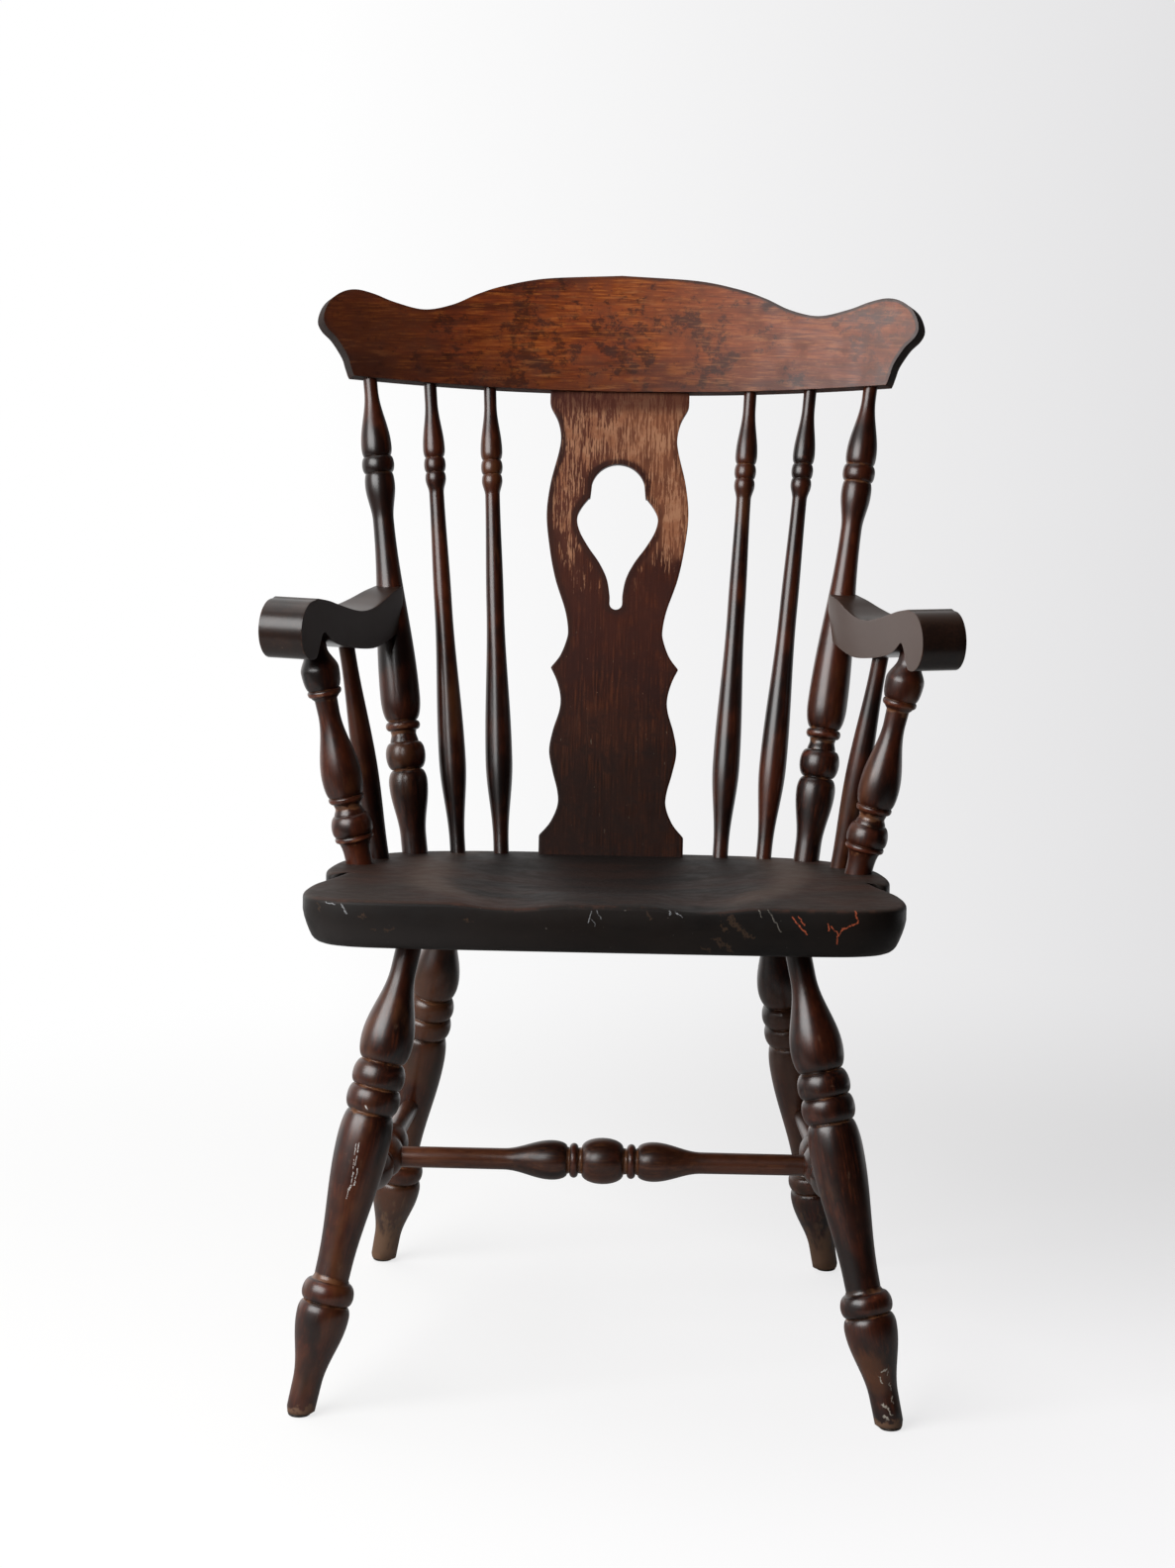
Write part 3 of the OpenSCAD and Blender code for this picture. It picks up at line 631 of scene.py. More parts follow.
def makeStretchers():
    hidden = stretcher["hidden"]           # mm at each end that the outline leaves out
    for k, (node, endR, half) in enumerate((("centre_stretcher", 9.5, 181),
                                            ("side_stretcher_left", 8.5, 179),
                                            ("side_stretcher_right", 8.5, 179))):
        cuts = stretcher["cuts"] + [("ease", stretcher["neckAt"], (endR + 10) / 2),
                                    ("line", half, endR)]
        right = outlinePoints(stretcher["ball"], cuts)
        low, high = stickEnds(node)
        reach = (high - low).length / 2 * 1000
        right = right + [(reach - hidden, endR)]
        outline = [(reach - s, r) for s, r in reversed(right)]
        outline += [(reach + s, r) for s, r in right[1:]]
        outline = [(s - hidden, r) for s, r in outline]
        end = (high - low).normalized() * (hidden / 1000)
        turnPiece(node, outline, low + end, high - end, (hidden / 1000, hidden / 1000),
                  stretcherWood, 51 + k)


makeStretchers()
print("chair: stretchers turned")


# ---- flat and carved pieces

def splinePoints(points, steps=8):
    p = np.array(points, float)
    out = []
    for i in range(len(p) - 1):
        a, b, c, d = p[max(i - 1, 0)], p[i], p[i + 1], p[min(i + 2, len(p) - 1)]
        for k in range(steps):
            t = k / steps
            out.append(0.5 * (2 * b + (c - a) * t + (2 * a - 5 * b + 4 * c - d) * t * t
                              + (3 * b - a - 3 * c + d) * t ** 3))
    out.append(p[-1])
    return np.array(out)


# the same line with a point every step mm
def evenly(line, step):
    line = np.array(line, float)
    far = np.concatenate([[0], np.cumsum(np.linalg.norm(np.diff(line, axis=0), axis=1))])
    spots = np.arange(0, far[-1], step)
    return np.column_stack([np.interp(spots, far, line[:, k]) for k in (0, 1)])


# A closed plate. stations is a list of rows of flat points, all with as many points; place puts
# a flat point at a depth from -1 to 1 in the chair.
def plateMesh(name, stations, place, layers):
    n, m = len(stations), len(stations[0])
    corners, faces = [], []
    indexOf = {}

    def corner(i, j, k):
        key = (i, j, k)
        if key not in indexOf:
            indexOf[key] = len(corners)
            corners.append(place(stations[i][j][0], stations[i][j][1], layers[k]))
        return indexOf[key]

    def wall(*spots):
        faces.append([corner(*spot) for spot in spots])

    last = len(layers) - 1
    for i in range(n - 1):
        for j in range(m - 1):
            wall((i, j, 0), (i + 1, j, 0), (i + 1, j + 1, 0), (i, j + 1, 0))
            wall((i, j, last), (i, j + 1, last), (i + 1, j + 1, last), (i + 1, j, last))
        for k in range(last):
            wall((i, 0, k), (i, 0, k + 1), (i + 1, 0, k + 1), (i + 1, 0, k))
            wall((i, m - 1, k), (i + 1, m - 1, k), (i + 1, m - 1, k + 1), (i, m - 1, k + 1))
    for j in range(m - 1):
        for k in range(last):
            wall((0, j, k), (0, j + 1, k), (0, j + 1, k + 1), (0, j, k + 1))
            wall((n - 1, j, k), (n - 1, j, k + 1), (n - 1, j + 1, k + 1), (n - 1, j + 1, k))
    mesh = bpy.data.meshes.new(name)
    mesh.from_pydata([tuple(c) for c in corners], [], faces)
    facesOut(mesh)
    return mesh


# relief is 1 on the arrises and fades away from them
def markArrises(mesh, arrises, fade):
    tree = kdtree.KDTree(len(arrises))
    for i, point in enumerate(arrises):
        tree.insert(point, i)
    tree.balance()
    setRelief(mesh, [math.exp(-(tree.find(v.co)[2] / fade) ** 1.5) for v in mesh.vertices])


def roundedPiece(name, mesh, width, segments=3, angle=38):
    obj = addObject(name, mesh)
    bevel = obj.modifiers.new("arrises", "BEVEL")
    bevel.width = width
    bevel.segments = segments
    bevel.limit_method = "ANGLE"
    bevel.angle_limit = math.radians(angle)
    bevel.use_clamp_overlap = True
    applyModifiers(obj)
    obj.data.shade_smooth()
    return obj


# the back's own frame: x across, h up the slope from the crest rail's foot
back = {
    "lean": 13.0, "splatFoot": (0, 0.1437, 0.41687), "length": 0.443, "bow": 0.786,
    "crestThick": 0.021, "crestHalf": 0.284, "crestHigh": 0.112, "crestArris": 0.003,
    "splatThick": 0.010, "splatArris": 0.0011,
}


def onBack(x, h, depth=0.0):
    a = math.radians(back["lean"])
    foot = Vector(back["splatFoot"])
    return foot + Vector((x, h * math.sin(a) + depth * math.cos(a),
                          h * math.cos(a) - depth * math.sin(a)))


def onCrest(x, h, depth):
    bow = back["bow"]
    turn = math.asin(max(-1, min(1, x / bow)))
    away = bow + depth * back["crestThick"] / 2
    return onBack(away * math.sin(turn), back["length"] + h, away * math.cos(turn) - bow)


def makeCrest():
    w, high = back["crestHalf"] * 1000, back["crestHigh"] * 1000
    lower = splinePoints([(0, 0), (w - 158, 0.7), (w - 29.5, 3.3)])
    lobe = splinePoints([(w - 29, 4), (w - 25.5, 14.5), (w - 22.5, 23), (w - 13, 37.5),
                         (w - 3.5, 47), (w, 57), (w - 5, 72), (w - 16, 82),
                         (w - 29.5, high - 26.3),
                         (w - 46, high - 29), (w - 66, high - 35.5), (w - 94, high - 40.5),
                         (w - 121, high - 34), (w - 145, high - 22.3), (w - 171, high - 13),
                         (w - 213, high - 4.3), (0, high)], 10)
    tip = int(np.argmax(lobe[:, 0]))
    under = np.vstack([lower, lobe[:tip + 1]])
    over = lobe[tip:][::-1]
    edge = min(under[:, 0].max(), over[:, 0].max())
    t = np.linspace(0, 1, 150)
    xs = edge * (1 - (1 - t) ** 1.35)
    xs = np.concatenate([-xs[::-1][:-1], xs])
    shares = [0, 0.02, 0.06, 0.12, 0.2, 0.3, 0.4, 0.5, 0.6, 0.7, 0.8, 0.88, 0.94, 0.98, 1]
    stations = []
    for x in xs:
        hLow = np.interp(abs(x), under[:, 0], under[:, 1])
        hHigh = np.interp(abs(x), over[:, 0], over[:, 1])
        stations.append([(x / 1000, (hLow + (hHigh - hLow) * g) / 1000) for g in shares])
    mesh = plateMesh("crestRail", stations, onCrest, [-1, -0.4, 0.4, 1])
    obj = roundedPiece("crestRail", mesh, back["crestArris"], 4)
    arrises = [onCrest(side * x / 1000, h / 1000, depth)
               for x, h in evenly(np.vstack([lower, lobe]), 1.5)
               for side in (-1, 1) for depth in (-1, 1)]
    markArrises(obj.data, arrises, 0.0065)
    return obj


# colours over the crest rail's own: a painted shade on the left and darker low down, loose blackish
# spots, gold streaks, a painted sheen on the right end and blackish edges
crestWearAndPaintedLight = {
    "gloom": "371a10", "spots": "2a110a", "gold": "a5673a", "light": "8a4c30", "arris": "231815",
    "edge": "1d1613",
}


def crestExtras(state):
    w, worn = state["w"], crestWearAndPaintedLight
    part = w.parts(state["place"])
    # painted shade: darker towards the left end, and darker low down
    gloom = w.plus(w.remap(part["X"], -0.02, -0.25), w.remap(part["Z"], 0.90, 0.845, 0, 0.6))
    gloom = w.times(gloom, w.remap(state["broad"], 0.25, 0.6, 0.45, 0.85), clamp=True)
    cover(state, gloom, worn["gloom"])
    spots = w.noise(w.mapping(state["place"], scale=(0.75, 1, 1)), 80, 6, 0.78)
    where = w.remap(w.noise(state["place"], 16, 2, 0.5), 0.35, 0.65, -0.07, 0.07)
    low = w.times(w.remap(part["Z"], 0.91, 0.87, 0.0, 0.04), w.remap(part["X"], 0.2, 0.05))
    spots = w.remap(w.plus(spots, w.plus(where, low)), 0.52, 0.61)
    cover(state, spots, worn["spots"], 0.72)
    gold = w.noise(w.mapping(state["lined"], scale=(0.09, 0.1, 1)), 330, 4, 0.7)
    gold = w.times(w.remap(gold, 0.53, 0.68), w.remap(state["broad"], 0.35, 0.62),
                   w.remap(part["X"], -0.22, 0.0, 0.12, 0.5))
    cover(state, gold, worn["gold"])
    # painted sheen: the right end lighter, where the bowed rail turns towards the lamp
    light = w.times(w.remap(part["X"], 0.17, 0.27), w.remap(state["blotch"], 0.35, 0.6))
    cover(state, light, worn["light"], 0.35)
    arris = w.remap(w.plus(state["relief"], w.times(state["blotch"], 0.3)), 0.78, 1.02)
    arris = w.times(arris, w.times(w.remap(part["Z"], 0.86, 0.88),
                                   w.remap(part["X"], -0.08, 0.1, 0.3, 1.0)))
    cover(state, arris, worn["arris"], 0.88)
    # the edges of the board are blackish, where the stain lies thick
    side = w.remap(w.calc("ABSOLUTE", w.facing()["Y"]), 0.75, 0.55)
    cover(state, w.times(side, w.remap(part["Z"], 0.87, 0.855, 0.9, 0.35)), worn["edge"])
    roughen(state, side, 0.5)


crestLook = {
    "grain": (0.06, 0.12, 1), "deep": "4a1c0a", "stain": "7a3413", "warm": "8b4217",
    "light": "a9602a", "bare": "b57c4c", "warmShare": 0.6, "lightShare": 0.55,
    "blotchShare": 0.35, "blotchScale": 48, "blotchColour": "41200f", "fineShare": 0.55,
    "rubShare": 0.03, "nickShare": 0.2, "nickFrom": 0.77, "nickColour": "4a3428", "gloss": 0.33,
    "bump": 0.06, "specular": 0.3, "figureScale": 110, "fineScale": 620,
}
crestWood = stainedWood("goldenCrestWood", crestLook, crestExtras)
finishPiece(makeCrest(), "crest_rail", crestWood)
print("chair: crest rail")

# the splat, half widths by height above the seat, in mm: the outline's lower and upper parts
# and the keyhole's flanks, whose round ends have headR and footR
splat = {
    "outer": [(68.5, -12), (68.5, 17), (67.5, 18.5), (58, 30), (51.5, 46), (52, 60), (57, 79),
              (60.5, 98), (57.5, 117), (51.5, 137), (51, 151), (55, 166), (60.5, 177.5)],
    "outerTop": [(59.5, 179), (52, 189), (46.5, 203), (45, 214), (48.5, 234), (58.5, 264),
                 (64.5, 294), (67.7, 325), (64.5, 355), (57.2, 385), (55.7, 400), (58.8, 415),
                 (65.5, 428), (66.5, 434)],
    "piercing": [(28, 340.5), (34.5, 332), (38.6, 322), (36, 309), (27.5, 294), (16.8, 279),
                 (9.3, 264), (6.3, 249), (6.1, 241)],
    "headR": 26, "headAt": 348, "footR": 6.1, "footAt": 240, "foot": -12, "top": 455,
    "rowStep": 2.0,
}


def makeSplat():
    s = splat
    outer = np.vstack([np.array(s["outer"][:2], float), splinePoints(s["outer"][2:]),
                       splinePoints(s["outerTop"]), [(s["outerTop"][-1][0], s["top"])]])
    head = [(s["headR"] * math.cos(a), s["headAt"] + s["headR"] * math.sin(a))
            for a in np.radians(np.arange(90, 14, -5))]
    foot = [(s["footR"] * math.cos(a), s["footAt"] + s["footR"] * math.sin(a))
            for a in np.radians(np.arange(-15, -91, -15))]
    hole = np.vstack([head, [(26, 345), (26.5, 341)], splinePoints(s["piercing"]), foot])[::-1]
    holeLow, holeHigh = hole[0, 1], hole[-1, 1]
    t = np.linspace(0, 1, 120)
    inHole = holeLow + (holeHigh - holeLow) * (1 - np.cos(np.pi * t)) / 2
    corners = [17.2, 18.5, 177.5, 178.2, 179, 340.5, 341, 434]      # rows at the sharp corners
    heights = np.concatenate([np.arange(s["foot"], holeLow - 1, s["rowStep"]), inHole,
                              np.arange(holeHigh + 1, s["top"] + 0.1, s["rowStep"]), corners])
    heights = np.unique(np.round(heights, 3))
    shares = [0, 0.04, 0.12, 0.25, 0.4, 0.6, 0.75, 0.88, 0.96, 1]
    place = lambda x, h, depth: onBack(x, h, depth * back["splatThick"] / 2)
    work = bmesh.new()
    for side in (-1, 1):
        stations = []
        for h in heights:
            wide = np.interp(h, outer[:, 1], outer[:, 0])
            inner = np.interp(h, hole[:, 1], hole[:, 0]) if holeLow <= h <= holeHigh else 0.0
            stations.append([(side * (inner + (wide - inner) * g) / 1000, h / 1000)
                             for g in shares])
        half = plateMesh("splatHalf", stations, place, [-1, 1])
        work.from_mesh(half)
        bpy.data.meshes.remove(half)
    bmesh.ops.remove_doubles(work, verts=work.verts, dist=0.000005)
    # the wall where the two halves meet is inside the board and is dropped
    inside = [f for f in work.faces if all(abs(v.co.x) < 0.00001 for v in f.verts)]
    bmesh.ops.delete(work, geom=inside, context="FACES_ONLY")
    bmesh.ops.recalc_face_normals(work, faces=work.faces)
    mesh = bpy.data.meshes.new("splat")
    work.to_mesh(mesh)
    work.free()
    obj = roundedPiece("splat", mesh, back["splatArris"], 2, 45)
    ring = np.vstack([evenly(outer, 1.5), evenly(hole, 1.5)]) / 1000
    arrises = [place(side * x, h, depth) for x, h in ring for side in (-1, 1)
               for depth in (-1, 1)]
    markArrises(obj.data, arrises, 0.005)
    return obj


# wear on the splat: stain gone from full upwards and whole below none, in metres above the floor,
# with fine strokes in it, redder and darker further down, and a painted shadow under the crest rail
splatWearAndShadow = {
    "full": 0.785, "none": 0.60, "stroke": 640, "strokes": "b28060", "strokesDark": "9a6446",
    "under": "5a3022", "underRight": "7b4a33", "redder": "461d12", "hair": "83715f",
    "arris": "1e110d", "top": "41190f", "foot": "170804",
}


def splatExtras(state):
    w, worn = state["w"], splatWearAndShadow
    part = w.parts(state["place"])
    edge = w.remap(state["relief"], 0.12, 0.6)
    # worn in fine upright strokes over the upper part, down both flanks of the piercing
    high = w.remap(part["Z"], worn["none"], worn["full"], 0.0, 1.0, False)
    cover(state, w.remap(part["Z"], 0.48, 0.66), worn["redder"], 0.55)
    patch = w.noise(w.mapping(state["lined"], scale=(1, 1, 0.45)), 30, 3, 0.6)
    amount = w.plus(w.times(high, 0.75), w.swing(patch, 1.5),
                    w.remap(part["X"], -0.03, 0.05, 0.0, 0.12))
    edge = w.times(edge, w.remap(part["X"], 0.0, 0.045, 1.0, 0.35))
    amount = w.minus(amount, w.times(edge, 0.4))
    amount = w.minus(amount, w.remap(part["Z"], 0.70, 0.60, 0.0, 0.6))
    under = w.mix(w.remap(part["X"], -0.025, 0.03), tone(worn["under"]), tone(worn["underRight"]))
    state["body"] = w.mix(w.times(w.remap(amount, 0.3, 0.75), 0.78), state["body"], under)
    strokes = w.noise(w.mapping(state["lined"], scale=(1, 1, 0.085)), worn["stroke"], 3, 0.65)
    strokes = w.remap(w.plus(strokes, w.times(amount, 0.22)), 0.66, 0.69)
    strokes = w.times(strokes, w.remap(amount, 0.12, 0.35))
    copper = w.mix(w.remap(state["blotch"], 0.4, 0.6), tone(worn["strokesDark"]),
                   tone(worn["strokes"]))
    state["body"] = w.mix(w.times(strokes, 0.72), state["body"], copper)
    # a few hair scratches lower down
    hair = w.noise(w.mapping(state["place"], scale=(1, 1, 0.1), turn=(0, 22, 0)), 420, 2, 0.5)
    hair = w.times(w.remap(hair, 0.735, 0.75), w.remap(part["Z"], 0.66, 0.6))
    cover(state, hair, worn["hair"], 0.6)
    cover(state, edge, worn["arris"], 0.45)
    # painted shadow of the crest rail: a dark band along the splat's top
    cover(state, w.remap(part["Z"], 0.825, 0.838, 0.0, 0.75), worn["top"])
    cover(state, w.remap(part["Z"], 0.58, 0.47, 0.0, 0.7), worn["foot"])
    roughen(state, strokes, 0.15)


splatLook = {
    "grain": (1, 1, 0.05), "turn": (13, 0, 0), "deep": "130604", "stain": "280f08",
    "warm": "44200f", "light": "68371e", "bare": "8b5d42", "warmShare": 0.6, "lightShare": 0.5,
    "blotchShare": 0.5, "fineShare": 0.5, "rubShare": 0.1, "nickShare": 0.5, "nickFrom": 0.755,
    "nickColour": "a07a62", "gloss": 0.42, "bump": 0.1, "specular": 0.14,
}
splatWood = stainedWood("rubbedSplatWood", splatLook, splatExtras)
finishPiece(makeSplat(), "splat", splatWood)
print("chair: splat")

# an arm: u runs forward from the back post's axis, v outwards, heights from the arm's back end
arm = {
    "height": 0.647, "length": 231, "width": 42, "angle": 19, "inner": -13.2, "start": 4,
    "noseR": 26.5, "noseZ": -1, "arris": 0.0022,
}


def armOutline():
    n, r = arm["length"], arm["noseR"]

    def nose(start, stop):         # the scroll's round, from one angle to the other
        return [(n - r + r * math.cos(a), arm["noseZ"] + r * math.sin(a))
                for a in np.radians(np.arange(start, stop, 5))]

    under = splinePoints([(-6, -17), (12, -22), (44, -28.7), (76, -31), (n - 104, -24.5),
                          (n - 70, -16), (n - 51, -4.7)])
    lower = np.vstack([under, [(n - 46, -6), (n - 42, -12), (n - 38, -20)], nose(-105, 1)])
    upper = splinePoints([(n - 35, 26.8), (n - 59, 22.5), (n - 79, 17.5), (n - 113, 9.3),
                          (94, 5.8), (69, 6.7), (46, 11.5), (25, 17.5), (5, 20), (-6, 20.5)])
    upper = np.vstack([nose(0, 100), upper])[::-1]
    outer = arm["inner"] + arm["width"]
    plan = splinePoints([(-6, 13.4), (20, 14.5), (45, outer - 7.5), (74, outer - 0.6),
                         (100, outer)])
    return lower, upper, plan


def makeArm(side, where):
    lower, upper, plan = armOutline()
    low, high = stickEnds("back_post_" + where)
    root = low + (high - low) * ((arm["height"] - low.z) / (high.z - low.z))
    a = math.radians(arm["angle"])

    def place(u, z, depth):
        outer = np.interp(u * 1000, plan[:, 0], plan[:, 1]) / 1000
        inner = arm["inner"] / 1000
        v = (inner + outer) / 2 + (outer - inner) / 2 * depth
        return root + Vector((side * (u * math.sin(a) + v * math.cos(a)),
                              -u * math.cos(a) + v * math.sin(a), z))

    t = np.linspace(0, 1, 110)
    us = arm["start"] + (arm["length"] - arm["start"]) * (1 - (1 - t) ** 1.5)
    lower, upper = (line[np.argsort(line[:, 0], kind="stable")] for line in (lower, upper))
    shares = [0, 0.05, 0.15, 0.3, 0.5, 0.7, 0.85, 0.95, 1]
    stations = []
    for u in us:
        zLow = np.interp(u, lower[:, 0], lower[:, 1])
        zHigh = np.interp(u, upper[:, 0], upper[:, 1])
        stations.append([(u / 1000, (zLow + (zHigh - zLow) * g) / 1000) for g in shares])
    mesh = plateMesh("arm", stations, place, [-1, -0.85, -0.5, 0, 0.5, 0.85, 1])
    obj = roundedPiece("arm" + where.capitalize(), mesh, arm["arris"])
    arrises = [place(u / 1000, z / 1000, depth)
               for u, z in np.vstack([evenly(lower, 1.5), evenly(upper, 1.5)])
               for depth in (-1, 1) if u > arm["start"]]
    markArrises(obj.data, arrises, 0.003)
    return obj


# the arms' tops are browner; their left-facing side faces get a painted sheen, the right-facing
# ones a painted shade
armTonesAndPaintedLight = {"upper": "43332b", "leftward": "5c4c45", "rightward": "463733"}


def armExtras(state):
    w = state["w"]
    normal = w.facing()
    upper = w.times(w.remap(normal["Z"], 0.55, 0.9), w.remap(state["broad"], 0.35, 0.6))
    rightward = w.remap(normal["X"], 0.5, 0.9)
    cover(state, upper, armTonesAndPaintedLight["upper"], 0.5)
    # painted sheen: faces turned to the left are lighter and greyer
    cover(state, w.remap(normal["X"], -0.5, -0.9, 0.0, 0.75), armTonesAndPaintedLight["leftward"])
    # painted shade: faces turned to the right take a darker warm tone and are rougher
    cover(state, rightward, armTonesAndPaintedLight["rightward"], 0.7)
    roughen(state, rightward, 0.22)


armLook = {
    "grain": (1, 0.06, 1), "deep": "110c0b", "stain": "20140f", "warm": "2e1c15",
    "light": "38251c", "bare": "8a5a3a", "warmShare": 0.5, "lightShare": 0.3, "blotchShare": 0.3,
    "fineShare": 0.3, "crestColour": "7b4c30", "crestShare": 0.55, "crestFrom": 0.9,
    "rubShare": 0.06, "nickShare": 0.3, "nickFrom": 0.76, "gloss": 0.29, "glossVary": 0.2,
    "bump": 0.0, "specular": 0.42,
}
armWood = stainedWood("darkArmWood", armLook, armExtras)
for side, where in ((-1, "left"), (1, "right")):
    finishPiece(makeArm(side, where), "arm_" + where, armWood)
print("chair: arms")

# the seat: x from the middle, d back from the front edge, h above the plank's upper face. The
# waist is where the back half steps in; inside calmWithin of the edge its shoulders fade out.
seat = {
    "frontY": -0.2773, "high": 0.450, "slope": 4.5, "width": 512, "depth": 448, "thick": 42,
    "dishDepth": 11, "dishR": 1000, "dishAt": 245, "scoopDepth": 4, "scoopFall": 3,
    "scoopR": 170, "scoopX": 81, "scoopEnd": 235, "soft": 0.9, "waist": (205, 242),
    "calmWithin": 9, "calmDepth": 10, "edgeStep": 6, "closest": 1.2,
}


def onSeat(x, d, h):
    a = math.radians(seat["slope"])
    return Vector((x, seat["frontY"] + d * math.cos(a) + h * math.sin(a),
                   seat["high"] - d * math.sin(a) + h * math.cos(a)))


# depth of the saddle, in mm, as a smooth lowest of the dish and the two leg hollows
def saddle(x, d):
    dish = seat["dishR"] - seat["dishDepth"] - math.sqrt(
        max(seat["dishR"] ** 2 - x * x - (d - seat["dishAt"]) ** 2, 0))
    lows = [0.0, dish]
    for side in (-1, 1):
        across = abs(x - side * seat["scoopX"])
        if across < seat["scoopR"] * 0.95 and d < 300:
            axis = seat["scoopR"] - seat["scoopDepth"] - (d + 30) / 265 * seat["scoopFall"]
            axis += max(0, d - seat["scoopEnd"]) * 0.13
            lows.append(axis - math.sqrt(seat["scoopR"] ** 2 - across ** 2))
    soft = seat["soft"]
    least = min(lows)
    return least - soft * math.log(sum(math.exp(-(v - least) / soft) for v in lows))


def makeSeat():
    w, n = seat["width"] / 2, seat["depth"]
    front = splinePoints([(0, 0), (w - 136, 0.5), (w - 56, 3), (w - 24, 12), (w - 7, 30),
                          (w - 0.5, 58), (w, 90), (w - 3, 125), (w - 9, 155), (w - 16, 185),
                          (w - 22, 223)], 12)
    rear = splinePoints([(w - 21, 225), (w - 15, 218), (w - 8, 219), (w - 4, 230), (w - 2.5, 250),
                         (w - 4, n - 163), (w - 9, n - 123), (w - 20, n - 83), (w - 39, n - 50),
                         (w - 66, n - 25), (w - 106, n - 10), (w - 156, n - 3), (0, n)], 12)
    half = np.vstack([front, rear])
    whole = np.vstack([half, [(-x, d) for x, d in half[-2:0:-1]]])
    # even spacing round the edge, denser at the small corners
    keep = [0]
    for i in range(1, len(whole)):
        if np.linalg.norm(whole[i] - whole[keep[-1]]) > seat["closest"]:
            keep.append(i)
    whole = whole[keep]
    spaced = []
    for a, b in zip(whole, np.roll(whole, -1, axis=0)):
        count = max(1, int(np.linalg.norm(b - a) / seat["edgeStep"]))
        spaced += [a + (b - a) * k / count for k in range(count)]
    whole = np.array(spaced)
    count = len(whole)
    # the rounded edge, as how far in from the outline and how far down
    edge = [(34, 0), (24, 0), (16, 0), (10, 0), (6.5, 0), (4, 0.2), (2.2, 0.7), (0.9, 1.6),
            (0.2, 2.9), (0, 4.5), (0, 9), (0, 14), (1.2, 20), (3, 26), (5, 31.5), (7, 36),
            (8.6, 38.2), (11, 40.2), (14, 41.5), (18, 42), (26, 42)]
    inset = lambda p, e: (p[0] * (1 - e / w), p[1] + (n / 2 - p[1]) * e / (n / 2))
    # calm is the outline without the waist's shoulders, which the rings further in follow
    calm = whole.copy()
    for side in (-1, 1):
        hook = [i for i, (x, d) in enumerate(whole)
                if x * side > w - 30 and seat["waist"][0] < d < seat["waist"][1]]
        first, last = whole[hook[0]], whole[hook[-1]]
        for k, i in enumerate(hook):
            t = k / (len(hook) - 1)
            calm[i] = first + (last - first) * t
            calm[i, 0] -= side * seat["calmDepth"] * math.sin(math.pi * t)
    eased = lambda e: whole + (calm - whole) * min(1.0, e / seat["calmWithin"])

    def innerRing(share, drop):
        return [(x * share, n / 2 + (d - n / 2) * share, drop) for x, d in calm]

    rings = [innerRing(share, 0.0) for share in np.linspace(0.03, 0.82, 36)]
    rings += [[(*inset(p, e), drop) for p in eased(e)] for e, drop in edge]
    rings += [innerRing(share, float(seat["thick"])) for share in (0.8, 0.6, 0.4, 0.2)]
    corners = []
    for ring in rings:
        for x, d, drop in ring:
            fadeOut = max(0.0, 1 - drop / 16) ** 1.5
            h = -drop + saddle(x, d) * fadeOut
            corners.append(onSeat(x / 1000, d / 1000, h / 1000))
    top = len(corners)
    corners.append(onSeat(0, n / 2000, saddle(0, n / 2) / 1000))
    corners.append(onSeat(0, n / 2000, -seat["thick"] / 1000))
    faces = []
    for start in range(0, top - count, count):
        for i in range(count):
            j = (i + 1) % count
            faces.append([start + i, start + count + i, start + count + j, start + j])
    for i in range(count):
        j = (i + 1) % count
        faces += [[top, i, j], [top + 1, top - count + j, top - count + i]]
    mesh = bpy.data.meshes.new("seat")
    mesh.from_pydata([tuple(c) for c in corners], [], faces)
    facesOut(mesh)
    mesh.shade_smooth()
    arrises = []
    for p in whole:
        x, d = inset(p, 1.5)
        arrises.append(onSeat(x / 1000, d / 1000, (saddle(x, d) - 1) / 1000))
    markArrises(mesh, arrises, 0.005)
    return addObject("seat", mesh)


# marks on the seat's front edge, two of them painted highlights, x and z in mm, each with its
# colour, share and shake
seatMarksAndHighlights = (
    ("4f3c2e", 0.48, 6.0, [
        ((106, 443), (119, 426), 5), ((92, 424), (108, 414), 4), ((112, 432), (126, 426), 3.5),
        ((84, 416), (90, 411), 3), ((36, 443), (40, 439), 4), ((100, 436), (103, 432), 3),
        ((-193, 424), (-190, 424), 2.5), ((-180, 425), (-176, 426), 4),
        ((-238, 442), (-237, 439), 2.5), ((-201, 437), (-199, 434), 2),
        ((-112, 436), (-108, 434), 2.5)]),
    ("87827a", 0.55, 1.5, [((136, 450), (148, 431), 1.1), ((129, 449), (132, 443), 0.9)]),
    # whitish marks; the two furthest left, from x -218 and -231, are a painted highlight on a worn
    # spot
    ("adafb2", 0.5, 2.5, [
        ((-9.5, 444), (-12, 436), 1.2), ((-5, 446), (-1.5, 440), 0.9), ((-9, 438), (-6, 433), 0.9),
        ((54, 447), (56, 444), 1.2), ((60, 446), (65, 441), 1.0), ((-218, 445), (-214.5, 438), 1.7),
        ((-231, 446), (-224.5, 445.5), 1.2)]),
    ("b3583a", 0.85, 1.6, [
        ((157, 443), (170, 429), 1.5), ((162, 444), (167, 437), 1.0), ((209, 450), (212, 439), 1.4),
        ((212, 439), (199, 434), 1.3), ((199, 434), (195, 428), 1.4), ((195, 430), (195, 421), 1.3),
        ((187, 438), (188, 433), 1.4), ((190, 436), (195, 430), 1.3)]),
)
# wear and painted light on the top and the front; scoop is the half width and half depth of the
# painted highlight's ring
seatWearAndPaintedLight = {
    "sides": "382c26", "rubbed": "43281e", "ring": "5a4a41", "middle": "1d1614", "lip": "4f3226",
    "pale": "322e2d", "scoop": (0.172, 0.298),
}


